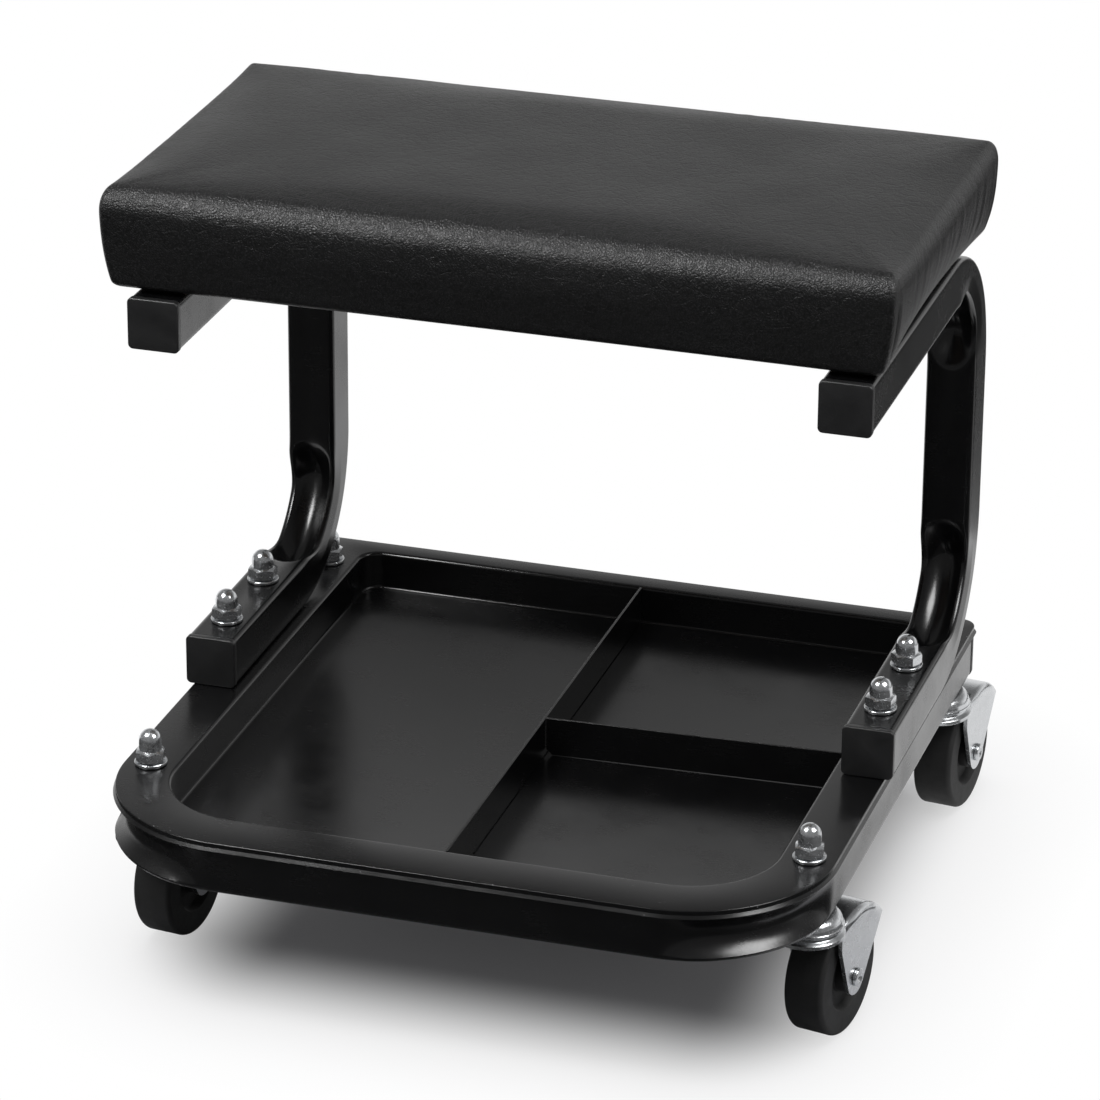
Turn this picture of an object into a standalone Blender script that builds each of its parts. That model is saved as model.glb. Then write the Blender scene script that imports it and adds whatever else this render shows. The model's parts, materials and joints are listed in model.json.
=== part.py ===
"""Mechanic stool: a padded seat on two bent tube frames, over a tool tray that rolls on four swivel casters.

Metres, +Z up, +X to the right as seen from the front, +Y to the rear. The origin is on the floor under the
middle of the stool's box. Lengths along Y are measured back from the front edge of the tray. The seat is centred
on the origin and sits a little to the left of the frames, so all but the seat hangs on a shifted empty.
"""

import math

import bmesh
import bpy
from mathutils import Vector

# Fits
CLEARANCE = 0.0003
HOLE_PLAY = 0.0004

# Square tube
TUBE_SIDE = 0.025
TUBE_WALL = 0.0015
TUBE_CORNER = 0.0025

# C-shaped frames that carry the seat
FOOT_OVERHANG = 0.004
FRAME_OPENING = 0.177
FRAME_BEND_RADIUS = 0.062
FRAME_CRUSH = 0.008
FRAME_DENT = 0.005
FRAME_PINCH = 0.10
UPRIGHT_BEHIND_CASTER = 0.0105
FOOT_LENGTH = 0.175
TOP_TUBE_LENGTH = 0.2405

# U-shaped base frame under the tray
BASE_SPREAD = 0.327
BASE_REAR_INSET = 0.0075
BASE_BEND_RADIUS = 0.058
BASE_CRUSH = 0.001
BASE_DENT = 0.0035
BASE_PINCH = 0.0

# Plastic end caps
CAP_FLANGE = 0.004
CAP_EDGE = 0.0012
CAP_PLUG = 0.009

# Pressed tray and its dividers
SHEET = 0.0012
TRAY_LENGTH = 0.361
TRAY_LIP_STRAIGHT = 0.0003
TRAY_REAR_RIM = 0.014
TRAY_REAR_CORNER = 0.009
PAN_DEPTH = 0.020
PAN_REAR_CORNER = 0.010
PAN_FLOOR_RADIUS = 0.003
DIVIDER_SHEET = 0.0012
LONG_DIVIDER_X = 0.001
CROSS_DIVIDER_SETBACK = 0.184
CROSS_DIVIDER_SKEW = math.radians(2.6)

# M8 cap nuts, washers and bolts
THREAD_RADIUS = 0.004
NUT_FLATS = 0.013
NUT_HEX_HEIGHT = 0.0065
NUT_SHOULDER = 0.0007
NUT_HEIGHT = 0.015
WASHER_RADIUS = 0.008
WASHER_THICKNESS = 0.0016
BOLT_HEAD = 0.0053
BOLT_ENTRY = 0.008
FOOT_BOLT_SETBACKS = (0.0245, 0.0765)

# Casters
CASTER_SETBACK = 0.0725
REAR_CASTER_INSET = 0.0325
CASTER_TRAIL = 0.026
WHEEL_RADIUS = 0.030
WHEEL_WIDTH = 0.020
WHEEL_EDGE = 0.0025
WHEEL_RECESS_RADIUS = 0.0178
WHEEL_RECESS_DEPTH = 0.004
HUB_RADIUS = 0.0085
BUSH_RADIUS = 0.005
AXLE_RADIUS = 0.003
AXLE_HEAD_RADIUS = 0.0045
AXLE_HEAD = 0.0018
FORK_SHEET = 0.002
FORK_GAP = 0.0020
FORK_SADDLE_GAP = 0.0043
FORK_SHOULDER = 0.0035
FORK_LEG_END_RADIUS = 0.009
FORK_FRONT_REACH = 0.0167
FORK_FRONT_DROP = 0.020
FORK_REAR_ANGLE = math.radians(40.0)
CROWN_RADIUS = 0.020
CROWN_STEP = 0.0018
CROWN_THICKNESS = 0.0051
RACE_RADIUS = 0.0174
RACE_NECK_RADIUS = 0.0125
RACE_HEIGHT = 0.007
PIN_HEAD_RADIUS = 0.008
PIN_HEAD = 0.0025
CASTER_HEADINGS = {
    "front_left": math.radians(7.0),
    "front_right": math.radians(11.0),
    "rear_left": math.radians(6.0),
    "rear_right": math.radians(6.5),
}

# Seat
SEAT_SETBACK = 0.0043
SEAT_OVERHANG = 0.0135
SEAT_OFFSET = 0.0041
SEAT_DEPTH = 0.210
SEAT_THICKNESS = 0.0525
SEAT_CROWN = 0.003
SEAT_END_TUCK = 0.0045
SEAT_SIDE_TUCK = 0.0015
SEAT_PULL = 0.0015
SEAT_TOP_EDGE = 0.011
SEAT_BOTTOM_EDGE = 0.005
SEAT_CORNER = 0.0095
BOARD_THICKNESS = 0.010
BOARD_BORDER = 0.002
SCREW_RADIUS = 0.003
SCREW_HEAD_RADIUS = 0.006
SCREW_HEAD = 0.0035
SCREW_BITE = 0.008
SCREW_SETBACKS = (0.040, 0.160)

# Facet counts; the tray's corners and the tube bends they lie on share one
BEND_STEPS = 8
FORK_STEPS = 6
SMALL_SIDES = 12
ROUND_SIDES = 16
WHEEL_SIDES = 24

# Heights, from the floor up
axle_height = WHEEL_RADIUS
fork_outer_radius = WHEEL_RADIUS + FORK_SADDLE_GAP + FORK_SHEET
fork_top = axle_height + fork_outer_radius
crown_bottom = fork_top - CROWN_THICKNESS
race_bottom = fork_top + CLEARANCE
race_top = race_bottom + RACE_HEIGHT
base_bottom = race_top + CLEARANCE
base_top = base_bottom + TUBE_SIDE
rim_top = base_top + CLEARANCE + SHEET
pan_floor = rim_top - PAN_DEPTH
foot_bottom = rim_top + CLEARANCE
foot_top = foot_bottom + TUBE_SIDE
top_tube_bottom = foot_top + FRAME_OPENING
top_tube_top = top_tube_bottom + TUBE_SIDE
seat_bottom = top_tube_top + CLEARANCE
seat_edge_top = seat_bottom + SEAT_THICKNESS

# Widths and lengths that follow from the fits
skin_gap = CLEARANCE + SHEET
half_tube = TUBE_SIDE / 2
tray_half_width = BASE_SPREAD / 2 + half_tube + skin_gap
pan_half_width = BASE_SPREAD / 2 - half_tube - skin_gap
pan_front = 2 * skin_gap + TUBE_SIDE
pan_rear = TRAY_LENGTH - TRAY_REAR_RIM
sheet_bend = TUBE_CORNER + skin_gap
tray_lip = sheet_bend + TRAY_LIP_STRAIGHT
base_rear = TRAY_LENGTH - BASE_REAR_INSET
rear_caster_setback = TRAY_LENGTH - REAR_CASTER_INSET
upright_back = rear_caster_setback + UPRIGHT_BEHIND_CASTER
foot_front = upright_back - FOOT_LENGTH
top_tube_front = upright_back - TOP_TUBE_LENGTH
frame_spread = BASE_SPREAD + 2 * FOOT_OVERHANG
seat_front = top_tube_front + SEAT_SETBACK
seat_length = frame_spread + TUBE_SIDE + 2 * SEAT_OVERHANG
board_half_length = seat_length / 2 - SEAT_END_TUCK - SEAT_BOTTOM_EDGE - BOARD_BORDER
board_half_depth = SEAT_DEPTH / 2 - SEAT_SIDE_TUCK - SEAT_PULL - SEAT_BOTTOM_EDGE - BOARD_BORDER
nut_dome_radius = NUT_FLATS / 2 - NUT_SHOULDER
nut_bore_depth = BOLT_ENTRY + 2 * CLEARANCE
fork_half_width = WHEEL_WIDTH / 2 + FORK_GAP + FORK_SHEET


def rearmost_wheel_point():
    """How far back the rear wheels reach, which sets the length of the stool."""
    reaches = []
    for place in ("rear_left", "rear_right"):
        heading = CASTER_HEADINGS[place]
        along = (CASTER_TRAIL + WHEEL_RADIUS - WHEEL_EDGE) * math.cos(heading)
        across = (WHEEL_WIDTH / 2 - WHEEL_EDGE) * abs(math.sin(heading))
        reaches.append(rear_caster_setback + along + across + WHEEL_EDGE)
    return max(reaches)


middle = max(rearmost_wheel_point(), TRAY_LENGTH) / 2


def along(setback):
    """Y of a point that lies setback behind the front edge of the tray."""
    return setback - middle


# Materials


def finish(name, colour, roughness, metallic=0.0):
    material = bpy.data.materials.get(name)
    if material is None:
        material = bpy.data.materials.new(name)
        material.use_nodes = True
        shader = material.node_tree.nodes["Principled BSDF"]
        shader.inputs["Base Color"].default_value = (*colour, 1.0)
        shader.inputs["Roughness"].default_value = roughness
        shader.inputs["Metallic"].default_value = metallic
    return material


def black_paint():
    return finish("black_powder_coat", (0.012, 0.012, 0.013), 0.32)


def black_plastic():
    return finish("black_cap_plastic", (0.016, 0.016, 0.017), 0.45)


def vinyl():
    return finish("black_vinyl", (0.022, 0.022, 0.023), 0.48)


def plywood():
    return finish("plywood", (0.45, 0.30, 0.16), 0.70)


def bright_zinc():
    return finish("bright_zinc", (0.72, 0.73, 0.74), 0.20, 1.0)


def dull_zinc():
    return finish("dull_zinc", (0.60, 0.61, 0.62), 0.38, 1.0)


def black_rubber():
    return finish("black_wheel_rubber", (0.020, 0.020, 0.021), 0.60)


def bush_nylon():
    return finish("white_nylon", (0.75, 0.74, 0.70), 0.45)


# Mesh tools


def skin(loops, ring=False):
    """Bridges equal loops of points in order; the end loops are filled, or joined to each other for a ring."""
    mesh = bmesh.new()
    rows = [[mesh.verts.new(point) for point in loop] for loop in loops]
    pairs = list(zip(rows, rows[1:]))
    if ring:
        pairs.append((rows[-1], rows[0]))
    else:
        mesh.faces.new(rows[0])
        mesh.faces.new(rows[-1])
    for lower, upper in pairs:
        for i in range(len(lower)):
            j = (i + 1) % len(lower)
            mesh.faces.new((lower[i], lower[j], upper[j], upper[i]))
    bmesh.ops.recalc_face_normals(mesh, faces=mesh.faces)
    return mesh


def add_object(name, mesh, material, parent="chassis", location=(0.0, 0.0, 0.0)):
    """Turns a bmesh into a named object under a parent empty, shaded smooth across its shallow edges."""
    data = bpy.data.meshes.new(name)
    mesh.to_mesh(data)
    mesh.free()
    data.materials.append(material)
    data.shade_smooth()
    data.set_sharp_from_angle(angle=math.radians(35.0))
    thing = bpy.data.objects.new(name, data)
    thing.location = location
    thing.parent = bpy.data.objects[parent]
    bpy.context.scene.collection.objects.link(thing)
    return thing


def add_cutter(name, mesh, parent="chassis"):
    """An object that only shapes others."""
    cutter = add_object(name, mesh, black_paint(), parent)
    cutter.hide_render = True
    cutter.display_type = "WIRE"
    return cutter


def add_empty(name, location, turn=0.0, parent=None):
    """A named point that carries other objects, such as one on a joint's axis."""
    empty = bpy.data.objects.new(name, None)
    empty.location = location
    empty.rotation_euler = (0.0, 0.0, turn)
    empty.parent = bpy.data.objects[parent] if parent else None
    bpy.context.scene.collection.objects.link(empty)
    return name


def cut(thing, tool, operation="DIFFERENCE"):
    modifier = thing.modifiers.new(tool.name, "BOOLEAN")
    modifier.operation = operation
    modifier.object = tool


def join(meshes):
    """One bmesh holding several that don't meet."""
    whole = bmesh.new()
    for mesh in meshes:
        data = bpy.data.meshes.new("part")
        mesh.to_mesh(data)
        mesh.free()
        whole.from_mesh(data)
        bpy.data.meshes.remove(data)
    return whole


def upright_loop(radius, height, sides=SMALL_SIDES, centre=(0.0, 0.0)):
    """Level circle of points round a vertical axis."""
    turns = [2 * math.pi * i / sides for i in range(sides)]
    return [
        (centre[0] + radius * math.cos(turn), centre[1] + radius * math.sin(turn), height) for turn in turns
    ]


def axle_loop(radius, across, sides=SMALL_SIDES):
    """Circle of points round the X axis."""
    turns = [2 * math.pi * i / sides for i in range(sides)]
    return [(across, radius * math.cos(turn), radius * math.sin(turn)) for turn in turns]


def hexagon_loop(flats, height):
    """Level hexagon with a point at each corner and at the middle of each side."""
    points = []
    for i in range(12):
        turn = math.pi * i / 6
        radius = flats / math.sqrt(3) if i % 2 == 0 else flats / 2
        points.append((radius * math.cos(turn), radius * math.sin(turn), height))
    return points


def upright_pin(radius, bottom, top, centre=(0.0, 0.0)):
    """Plain vertical cylinder, as used to drill holes."""
    return skin([upright_loop(radius, bottom, centre=centre), upright_loop(radius, top, centre=centre)])


def slab(outline, place, thickness):
    """Solid between two copies of a flat outline; place(u, v, w) gives the point at depth w."""
    near = [place(u, v, -thickness / 2) for u, v in outline]
    far = [place(u, v, thickness / 2) for u, v in outline]
    return skin([near, far])


# Square tube, bent in one plane


def corner_radius(inset):
    return max(TUBE_CORNER - inset, TUBE_CORNER / 4)


def square_points(inset):
    """The tube's rounded square, drawn in by inset, three points to a corner."""
    radius = corner_radius(inset)
    flat = half_tube - inset - radius
    points = []
    for quarter in range(4):
        diagonal = math.pi / 4 + quarter * math.pi / 2
        corner = (math.copysign(flat, math.cos(diagonal)), math.copysign(flat, math.sin(diagonal)))
        for step in (-1, 0, 1):
            turn = diagonal + step * math.pi / 4
            points.append((corner[0] + radius * math.cos(turn), corner[1] + radius * math.sin(turn)))
    return points


def tube_section(inset, dent_side, squeeze, crush, dent, pinch):
    """Outline (across, inward) of the tube; in a bend one face is pushed in and hollowed.

    dent_side is 1 where the face on the inside of the bend gives way and -1 where the outer one does.
    """
    half = half_tube - inset
    flat = half - corner_radius(inset)
    points = square_points(inset)
    points[3:3] = [(flat / 2, half), (0.0, half), (-flat / 2, half)]
    shaped = []
    for across, depth in points:
        lift = max(depth / half, 0.0)
        valley = lift**4 * max(0.0, 1.0 - (across / flat) ** 2)
        pushed = (depth + half_tube) * (1.0 - squeeze * crush / TUBE_SIDE) - half_tube - squeeze * dent * valley
        shaped.append((across * (1.0 - squeeze * pinch * lift), dent_side * pushed))
    return shaped


def bent_path(corners, radius):
    """Stations (point, heading, squeeze) along a polyline with rounded left-hand corners."""
    points = [Vector(corner) for corner in corners]
    stations = []
    first = (points[1] - points[0]).normalized()
    stations.append((points[0], math.atan2(first.y, first.x), 0.0))
    for before, corner, after in zip(points, points[1:], points[2:]):
        come = (corner - before).normalized()
        go = (after - corner).normalized()
        heading = math.atan2(come.y, come.x)
        turn = come.angle(go)
        start = corner - come * radius * math.tan(turn / 2)
        centre = start + Vector((-come.y, come.x)) * radius
        for step in range(BEND_STEPS + 1):
            share = step / BEND_STEPS
            angle = heading + turn * share
            spot = centre + Vector((math.sin(angle), -math.cos(angle))) * radius
            rise = min(1.0, min(share, 1.0 - share) / 0.3)
            stations.append((spot, angle, rise * rise * (3.0 - 2.0 * rise)))
    last = (points[-1] - points[-2]).normalized()
    stations.append((points[-1], math.atan2(last.y, last.x), 0.0))
    return stations


def bent_tube(corners, radius, place, dent_side, crush, dent, pinch):
    """Hollow tube along the path; place(along, up, across) puts the bend plane in space."""
    stations = bent_path(corners, radius)

    def loop(station, inset):
        spot, angle, squeeze = station
        inward = Vector((-math.sin(angle), math.cos(angle)))
        points = []
        for across, depth in tube_section(inset, dent_side, squeeze, crush, dent, pinch):
            flat = spot + inward * depth
            points.append(place(flat.x, flat.y, across))
        return points

    outside = [loop(station, 0.0) for station in stations]
    inside = [loop(station, TUBE_WALL) for station in reversed(stations)]
    return skin(outside + inside, ring=True)


# Frames


def side_name(side):
    return "left" if side < 0 else "right"


def foot_bolt_places(side):
    x = side * frame_spread / 2
    return [(x, along(foot_front + setback)) for setback in FOOT_BOLT_SETBACKS]


def screw_places(side):
    x = side * frame_spread / 2
    return [(x, along(seat_front + setback)) for setback in SCREW_SETBACKS]


def caster_places():
    places = {}
    for end, setback in (("front", CASTER_SETBACK), ("rear", rear_caster_setback)):
        for side in (-1, 1):
            places[f"{end}_{side_name(side)}"] = (side * BASE_SPREAD / 2, along(setback))
    return places


def make_seat_frame(side):
    """C-shaped frame of square tube: foot on the tray, upright at the rear, top tube under the seat."""
    x = side * frame_spread / 2
    back = along(upright_back) - half_tube
    low = foot_bottom + half_tube
    high = top_tube_bottom + half_tube
    cap = CAP_FLANGE + CLEARANCE
    corners = [
        (along(foot_front) + cap, low),
        (back, low),
        (back, high),
        (along(top_tube_front) + cap, high),
    ]
    mesh = bent_tube(
        corners,
        FRAME_BEND_RADIUS,
        lambda y, z, across: (x + across, y, z),
        1,
        FRAME_CRUSH,
        FRAME_DENT,
        FRAME_PINCH,
    )
    name = f"{side_name(side)}_seat_frame"
    frame = add_object(name, mesh, black_paint())
    drills = []
    for spot in foot_bolt_places(side):
        drills.append(upright_pin(THREAD_RADIUS + HOLE_PLAY, rim_top, foot_top + half_tube, spot))
    for spot in screw_places(side):
        drills.append(upright_pin(SCREW_RADIUS + HOLE_PLAY, top_tube_bottom - half_tube, seat_bottom + half_tube, spot))
    cut(frame, add_cutter(f"{name}_drill", join(drills)))


def make_base_frame():
    """U-shaped frame of square tube under the tray rim, open to the rear."""
    x = BASE_SPREAD / 2
    front = along(skin_gap + half_tube)
    rear = along(base_rear) - CAP_FLANGE - CLEARANCE
    level = base_bottom + half_tube
    mesh = bent_tube(
        [(-x, rear), (-x, front), (x, front), (x, rear)],
        BASE_BEND_RADIUS,
        lambda u, v, across: (u, v, level + across),
        -1,
        BASE_CRUSH,
        BASE_DENT,
        BASE_PINCH,
    )
    frame = add_object("base_frame", mesh, black_paint())
    spots = foot_bolt_places(-1) + foot_bolt_places(1) + list(caster_places().values())
    drills = [upright_pin(THREAD_RADIUS + HOLE_PLAY, race_bottom, rim_top + half_tube, spot) for spot in spots]
    cut(frame, add_cutter("base_frame_drill", join(drills)))


def square_loop(inset, depth):
    """Rounded square of the tube's outline, drawn in by inset, at a depth along Y."""
    return [(across, depth, up) for across, up in square_points(inset)]


def make_end_cap(name, centre, direction):
    """Square plug with a flange; direction is the way its face looks along Y."""
    plug_inset = TUBE_WALL + CLEARANCE
    loops = [
        square_loop(CAP_EDGE, 0.0),
        square_loop(0.0, CAP_EDGE),
        square_loop(0.0, CAP_FLANGE),
        square_loop(plug_inset, CAP_FLANGE),
        square_loop(plug_inset, CAP_FLANGE + CAP_PLUG),
    ]
    loops = [[(x, -direction * y, z) for x, y, z in loop] for loop in loops]
    add_object(name, skin(loops), black_plastic(), location=centre)


def make_end_caps():
    for side in (-1, 1):
        x = side * frame_spread / 2
        low = foot_bottom + half_tube
        high = top_tube_bottom + half_tube
        make_end_cap(f"{side_name(side)}_foot_cap", (x, along(foot_front), low), -1)
        make_end_cap(f"{side_name(side)}_top_tube_cap", (x, along(top_tube_front), high), -1)
        rear = (side * BASE_SPREAD / 2, along(base_rear), base_bottom + half_tube)
        make_end_cap(f"{side_name(side)}_base_cap", rear, 1)


# Tray


def rounded_outline(half_width, front, rear, front_radius, rear_radius):
    """Rectangle in plan whose front and rear corners each have their own radius."""
    corners = [
        (half_width, rear, rear_radius, 0.0),
        (-half_width, rear, rear_radius, math.pi / 2),
        (-half_width, front, front_radius, math.pi),
        (half_width, front, front_radius, 3 * math.pi / 2),
    ]
    points = []
    for x, y, radius, start in corners:
        centre_x = x - math.copysign(radius, x)
        centre_y = y + radius if start >= math.pi else y - radius
        for step in range(BEND_STEPS + 1):
            turn = start + math.pi / 2 * step / BEND_STEPS
            points.append((centre_x + radius * math.cos(turn), centre_y + radius * math.sin(turn)))
    return points


def rim_loop(inset, height):
    """Outline of the rim, drawn in by inset."""
    outline = rounded_outline(
        tray_half_width - inset,
        along(inset),
        along(TRAY_LENGTH - inset),
        BASE_BEND_RADIUS + half_tube + skin_gap - inset,
        TRAY_REAR_CORNER - inset,
    )
    return [(x, y, height) for x, y in outline]


def pan_loop(outset, height):
    """Outline of the pan's inner wall, let out by outset."""
    outline = rounded_outline(
        pan_half_width + outset,
        along(pan_front - outset),
        along(pan_rear + outset),
        BASE_BEND_RADIUS - half_tube - skin_gap + outset,
        PAN_REAR_CORNER + outset,
    )
    return [(x, y, height) for x, y in outline]


def make_tray():
    """Pressed sheet pan: floor, wall, rolled edge, flat rim and turned-down lip, then the same on the underside."""
    quarter = [math.radians(angle) for angle in (0.0, 45.0, 90.0)]
    wall_foot = PAN_FLOOR_RADIUS
    loops = []
    for turn in quarter:
        loops.append(
            pan_loop(-wall_foot * (1.0 - math.sin(turn)), pan_floor + wall_foot * (1.0 - math.cos(turn)))
        )
    for turn in quarter:
        loops.append(
            pan_loop(sheet_bend * (1.0 - math.cos(turn)), rim_top - sheet_bend * (1.0 - math.sin(turn)))
        )
    for turn in reversed(quarter):
        loops.append(
            rim_loop(sheet_bend * (1.0 - math.cos(turn)), rim_top - sheet_bend * (1.0 - math.sin(turn)))
        )
    loops.append(rim_loop(0.0, rim_top - tray_lip))
    loops.append(rim_loop(SHEET, rim_top - tray_lip))
    under_bend = sheet_bend - SHEET
    for turn in quarter:
        loops.append(
            rim_loop(sheet_bend - under_bend * math.cos(turn), rim_top - sheet_bend + under_bend * math.sin(turn))
        )
    for turn in reversed(quarter):
        loops.append(
            pan_loop(sheet_bend - under_bend * math.cos(turn), rim_top - sheet_bend + under_bend * math.sin(turn))
        )
    under_foot = wall_foot + SHEET
    for turn in reversed(quarter):
        loops.append(
            pan_loop(
                SHEET - under_foot * (1.0 - math.sin(turn)),
                pan_floor - SHEET + under_foot * (1.0 - math.cos(turn)),
            )
        )
    tray = add_object("tool_tray", skin(loops), black_paint())
    spots = foot_bolt_places(-1) + foot_bolt_places(1) + list(caster_places().values())
    drills = [upright_pin(THREAD_RADIUS + HOLE_PLAY, base_bottom, foot_top, spot) for spot in spots]
    cut(tray, add_cutter("tool_tray_drill", join(drills)))


def divider_outline(start, end):
    """Strip that stands on the pan floor, its lower corners cut to clear the pressed radius."""
    bottom = pan_floor + CLEARANCE
    notch = PAN_FLOOR_RADIUS
    return [
        (start + notch, bottom),
        (end - notch, bottom),
        (end, bottom + notch),
        (end, rim_top),
        (start, rim_top),
        (start, bottom + notch),
    ]


def make_dividers():
    """One strip from front wall to rear wall, and one from that strip to the right-hand wall."""
    outline = divider_outline(along(pan_front + CLEARANCE), along(pan_rear - CLEARANCE))
    mesh = slab(outline, lambda y, z, w: (LONG_DIVIDER_X + w, y, z), DIVIDER_SHEET)
    add_object("long_divider", mesh, black_paint())

    slope = math.tan(CROSS_DIVIDER_SKEW)
    start = LONG_DIVIDER_X + DIVIDER_SHEET / 2 + CLEARANCE
    end = pan_half_width - CLEARANCE
    centre_x = (start + end) / 2
    centre_y = along(CROSS_DIVIDER_SETBACK)
    mesh = slab(
        divider_outline(start, end),
        lambda x, z, w: (x, centre_y + slope * (x - centre_x) + w, z),
        DIVIDER_SHEET,
    )
    add_object("cross_divider", mesh, black_paint())


# Fasteners


def make_washer(name, spot, seat_height):
    """Flat ring that lies on a surface."""
    bottom = seat_height + CLEARANCE
    top = bottom + WASHER_THICKNESS
    inner = THREAD_RADIUS + HOLE_PLAY
    loops = [
        upright_loop(inner, bottom),
        upright_loop(inner, top),
        upright_loop(WASHER_RADIUS, top),
        upright_loop(WASHER_RADIUS, bottom),
    ]
    add_object(name, skin(loops, ring=True), bright_zinc(), location=(*spot, 0.0))


def nut_seat(seat_height):
    """Height of the face a cap nut bears on, over its washer."""
    return seat_height + 2 * CLEARANCE + WASHER_THICKNESS


def make_cap_nut(name, spot, seat_height):
    """Hexagon with a domed cap and a blind threaded bore."""
    bottom = nut_seat(seat_height)
    bore = THREAD_RADIUS + CLEARANCE
    shoulder = bottom + NUT_HEX_HEIGHT
    dome_centre = bottom + NUT_HEIGHT - nut_dome_radius
    loops = [
        upright_loop(bore, bottom + nut_bore_depth),
        upright_loop(bore, bottom),
        hexagon_loop(NUT_FLATS, bottom),
        hexagon_loop(NUT_FLATS, shoulder),
        upright_loop(nut_dome_radius, shoulder + CLEARANCE),
    ]
    for angle in (0.0, 35.0, 68.0):
        turn = math.radians(angle)
        loops.append(
            upright_loop(nut_dome_radius * math.cos(turn), dome_centre + nut_dome_radius * math.sin(turn))
        )
    add_object(name, skin(loops), bright_zinc(), location=(*spot, 0.0))


def make_foot_fasteners(side):
    """Bolts up through the base frame, tray rim and foot, each closed by a washer and a cap nut."""
    for order, spot in zip(("front", "rear"), foot_bolt_places(side)):
        stem = f"{side_name(side)}_{order}_foot"
        head_top = base_bottom - CLEARANCE
        loops = [
            hexagon_loop(NUT_FLATS, head_top - BOLT_HEAD),
            hexagon_loop(NUT_FLATS, head_top),
            upright_loop(THREAD_RADIUS, head_top),
            upright_loop(THREAD_RADIUS, nut_seat(foot_top) + BOLT_ENTRY),
        ]
        add_object(f"{stem}_bolt", skin(loops), bright_zinc(), location=(*spot, 0.0))
        make_washer(f"{stem}_washer", spot, foot_top)
        make_cap_nut(f"{stem}_cap_nut", spot, foot_top)


def make_seat_screws(side):
    """Screws up through the top tube into the seat board."""
    for order, spot in zip(("front", "rear"), screw_places(side)):
        head_top = top_tube_bottom - CLEARANCE
        loops = [
            upright_loop(SCREW_HEAD_RADIUS * 0.7, head_top - SCREW_HEAD),
            upright_loop(SCREW_HEAD_RADIUS, head_top - SCREW_HEAD * 0.4),
            upright_loop(SCREW_HEAD_RADIUS, head_top),
            upright_loop(SCREW_RADIUS, head_top),
            upright_loop(SCREW_RADIUS, seat_bottom + SCREW_BITE),
        ]
        add_object(f"{side_name(side)}_{order}_seat_screw", skin(loops), bright_zinc(), location=(*spot, 0.0))


# Casters


def make_caster_stem(name, spot):
    """Fixed upper race on a threaded stem; the pin below it holds the fork up."""
    bottom = crown_bottom - CLEARANCE - PIN_HEAD
    profile = [
        (PIN_HEAD_RADIUS * 0.8, bottom),
        (PIN_HEAD_RADIUS, bottom + PIN_HEAD / 2),
        (PIN_HEAD_RADIUS, crown_bottom - CLEARANCE),
        (THREAD_RADIUS, crown_bottom - CLEARANCE),
        (THREAD_RADIUS, race_bottom),
        (RACE_RADIUS, race_bottom),
        (RACE_RADIUS, race_bottom + RACE_HEIGHT * 0.2),
        (RACE_RADIUS * 0.93, race_bottom + RACE_HEIGHT * 0.6),
        (RACE_NECK_RADIUS, race_top),
        (THREAD_RADIUS, race_top),
        (THREAD_RADIUS, nut_seat(rim_top) + BOLT_ENTRY),
    ]
    loops = [upright_loop(radius, height, ROUND_SIDES) for radius, height in profile]
    add_object(name, skin(loops), bright_zinc(), location=(*spot, 0.0))


def fork_outline(radius):
    """Side view of the fork round the axle: saddle of that radius, tapered leg, rounded lower end."""
    front = Vector((-FORK_FRONT_REACH, FORK_FRONT_DROP))
    end = FORK_LEG_END_RADIUS
    saddle_start = math.acos(-FORK_FRONT_REACH / radius)
    points = []
    for step in range(FORK_STEPS + 1):
        turn = saddle_start + (FORK_REAR_ANGLE - saddle_start) * step / FORK_STEPS
        points.append((radius * math.cos(turn), radius * math.sin(turn)))
    rear_tangent = FORK_REAR_ANGLE - math.acos(end / radius)
    front_tangent = math.atan2(front.y, front.x) + math.acos(end / front.length) - 2 * math.pi
    for step in range(FORK_STEPS):
        turn = rear_tangent + (front_tangent - rear_tangent) * step / (FORK_STEPS - 1)
        points.append((end * math.cos(turn), end * math.sin(turn)))
    points.append(tuple(front))
    return points


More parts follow.
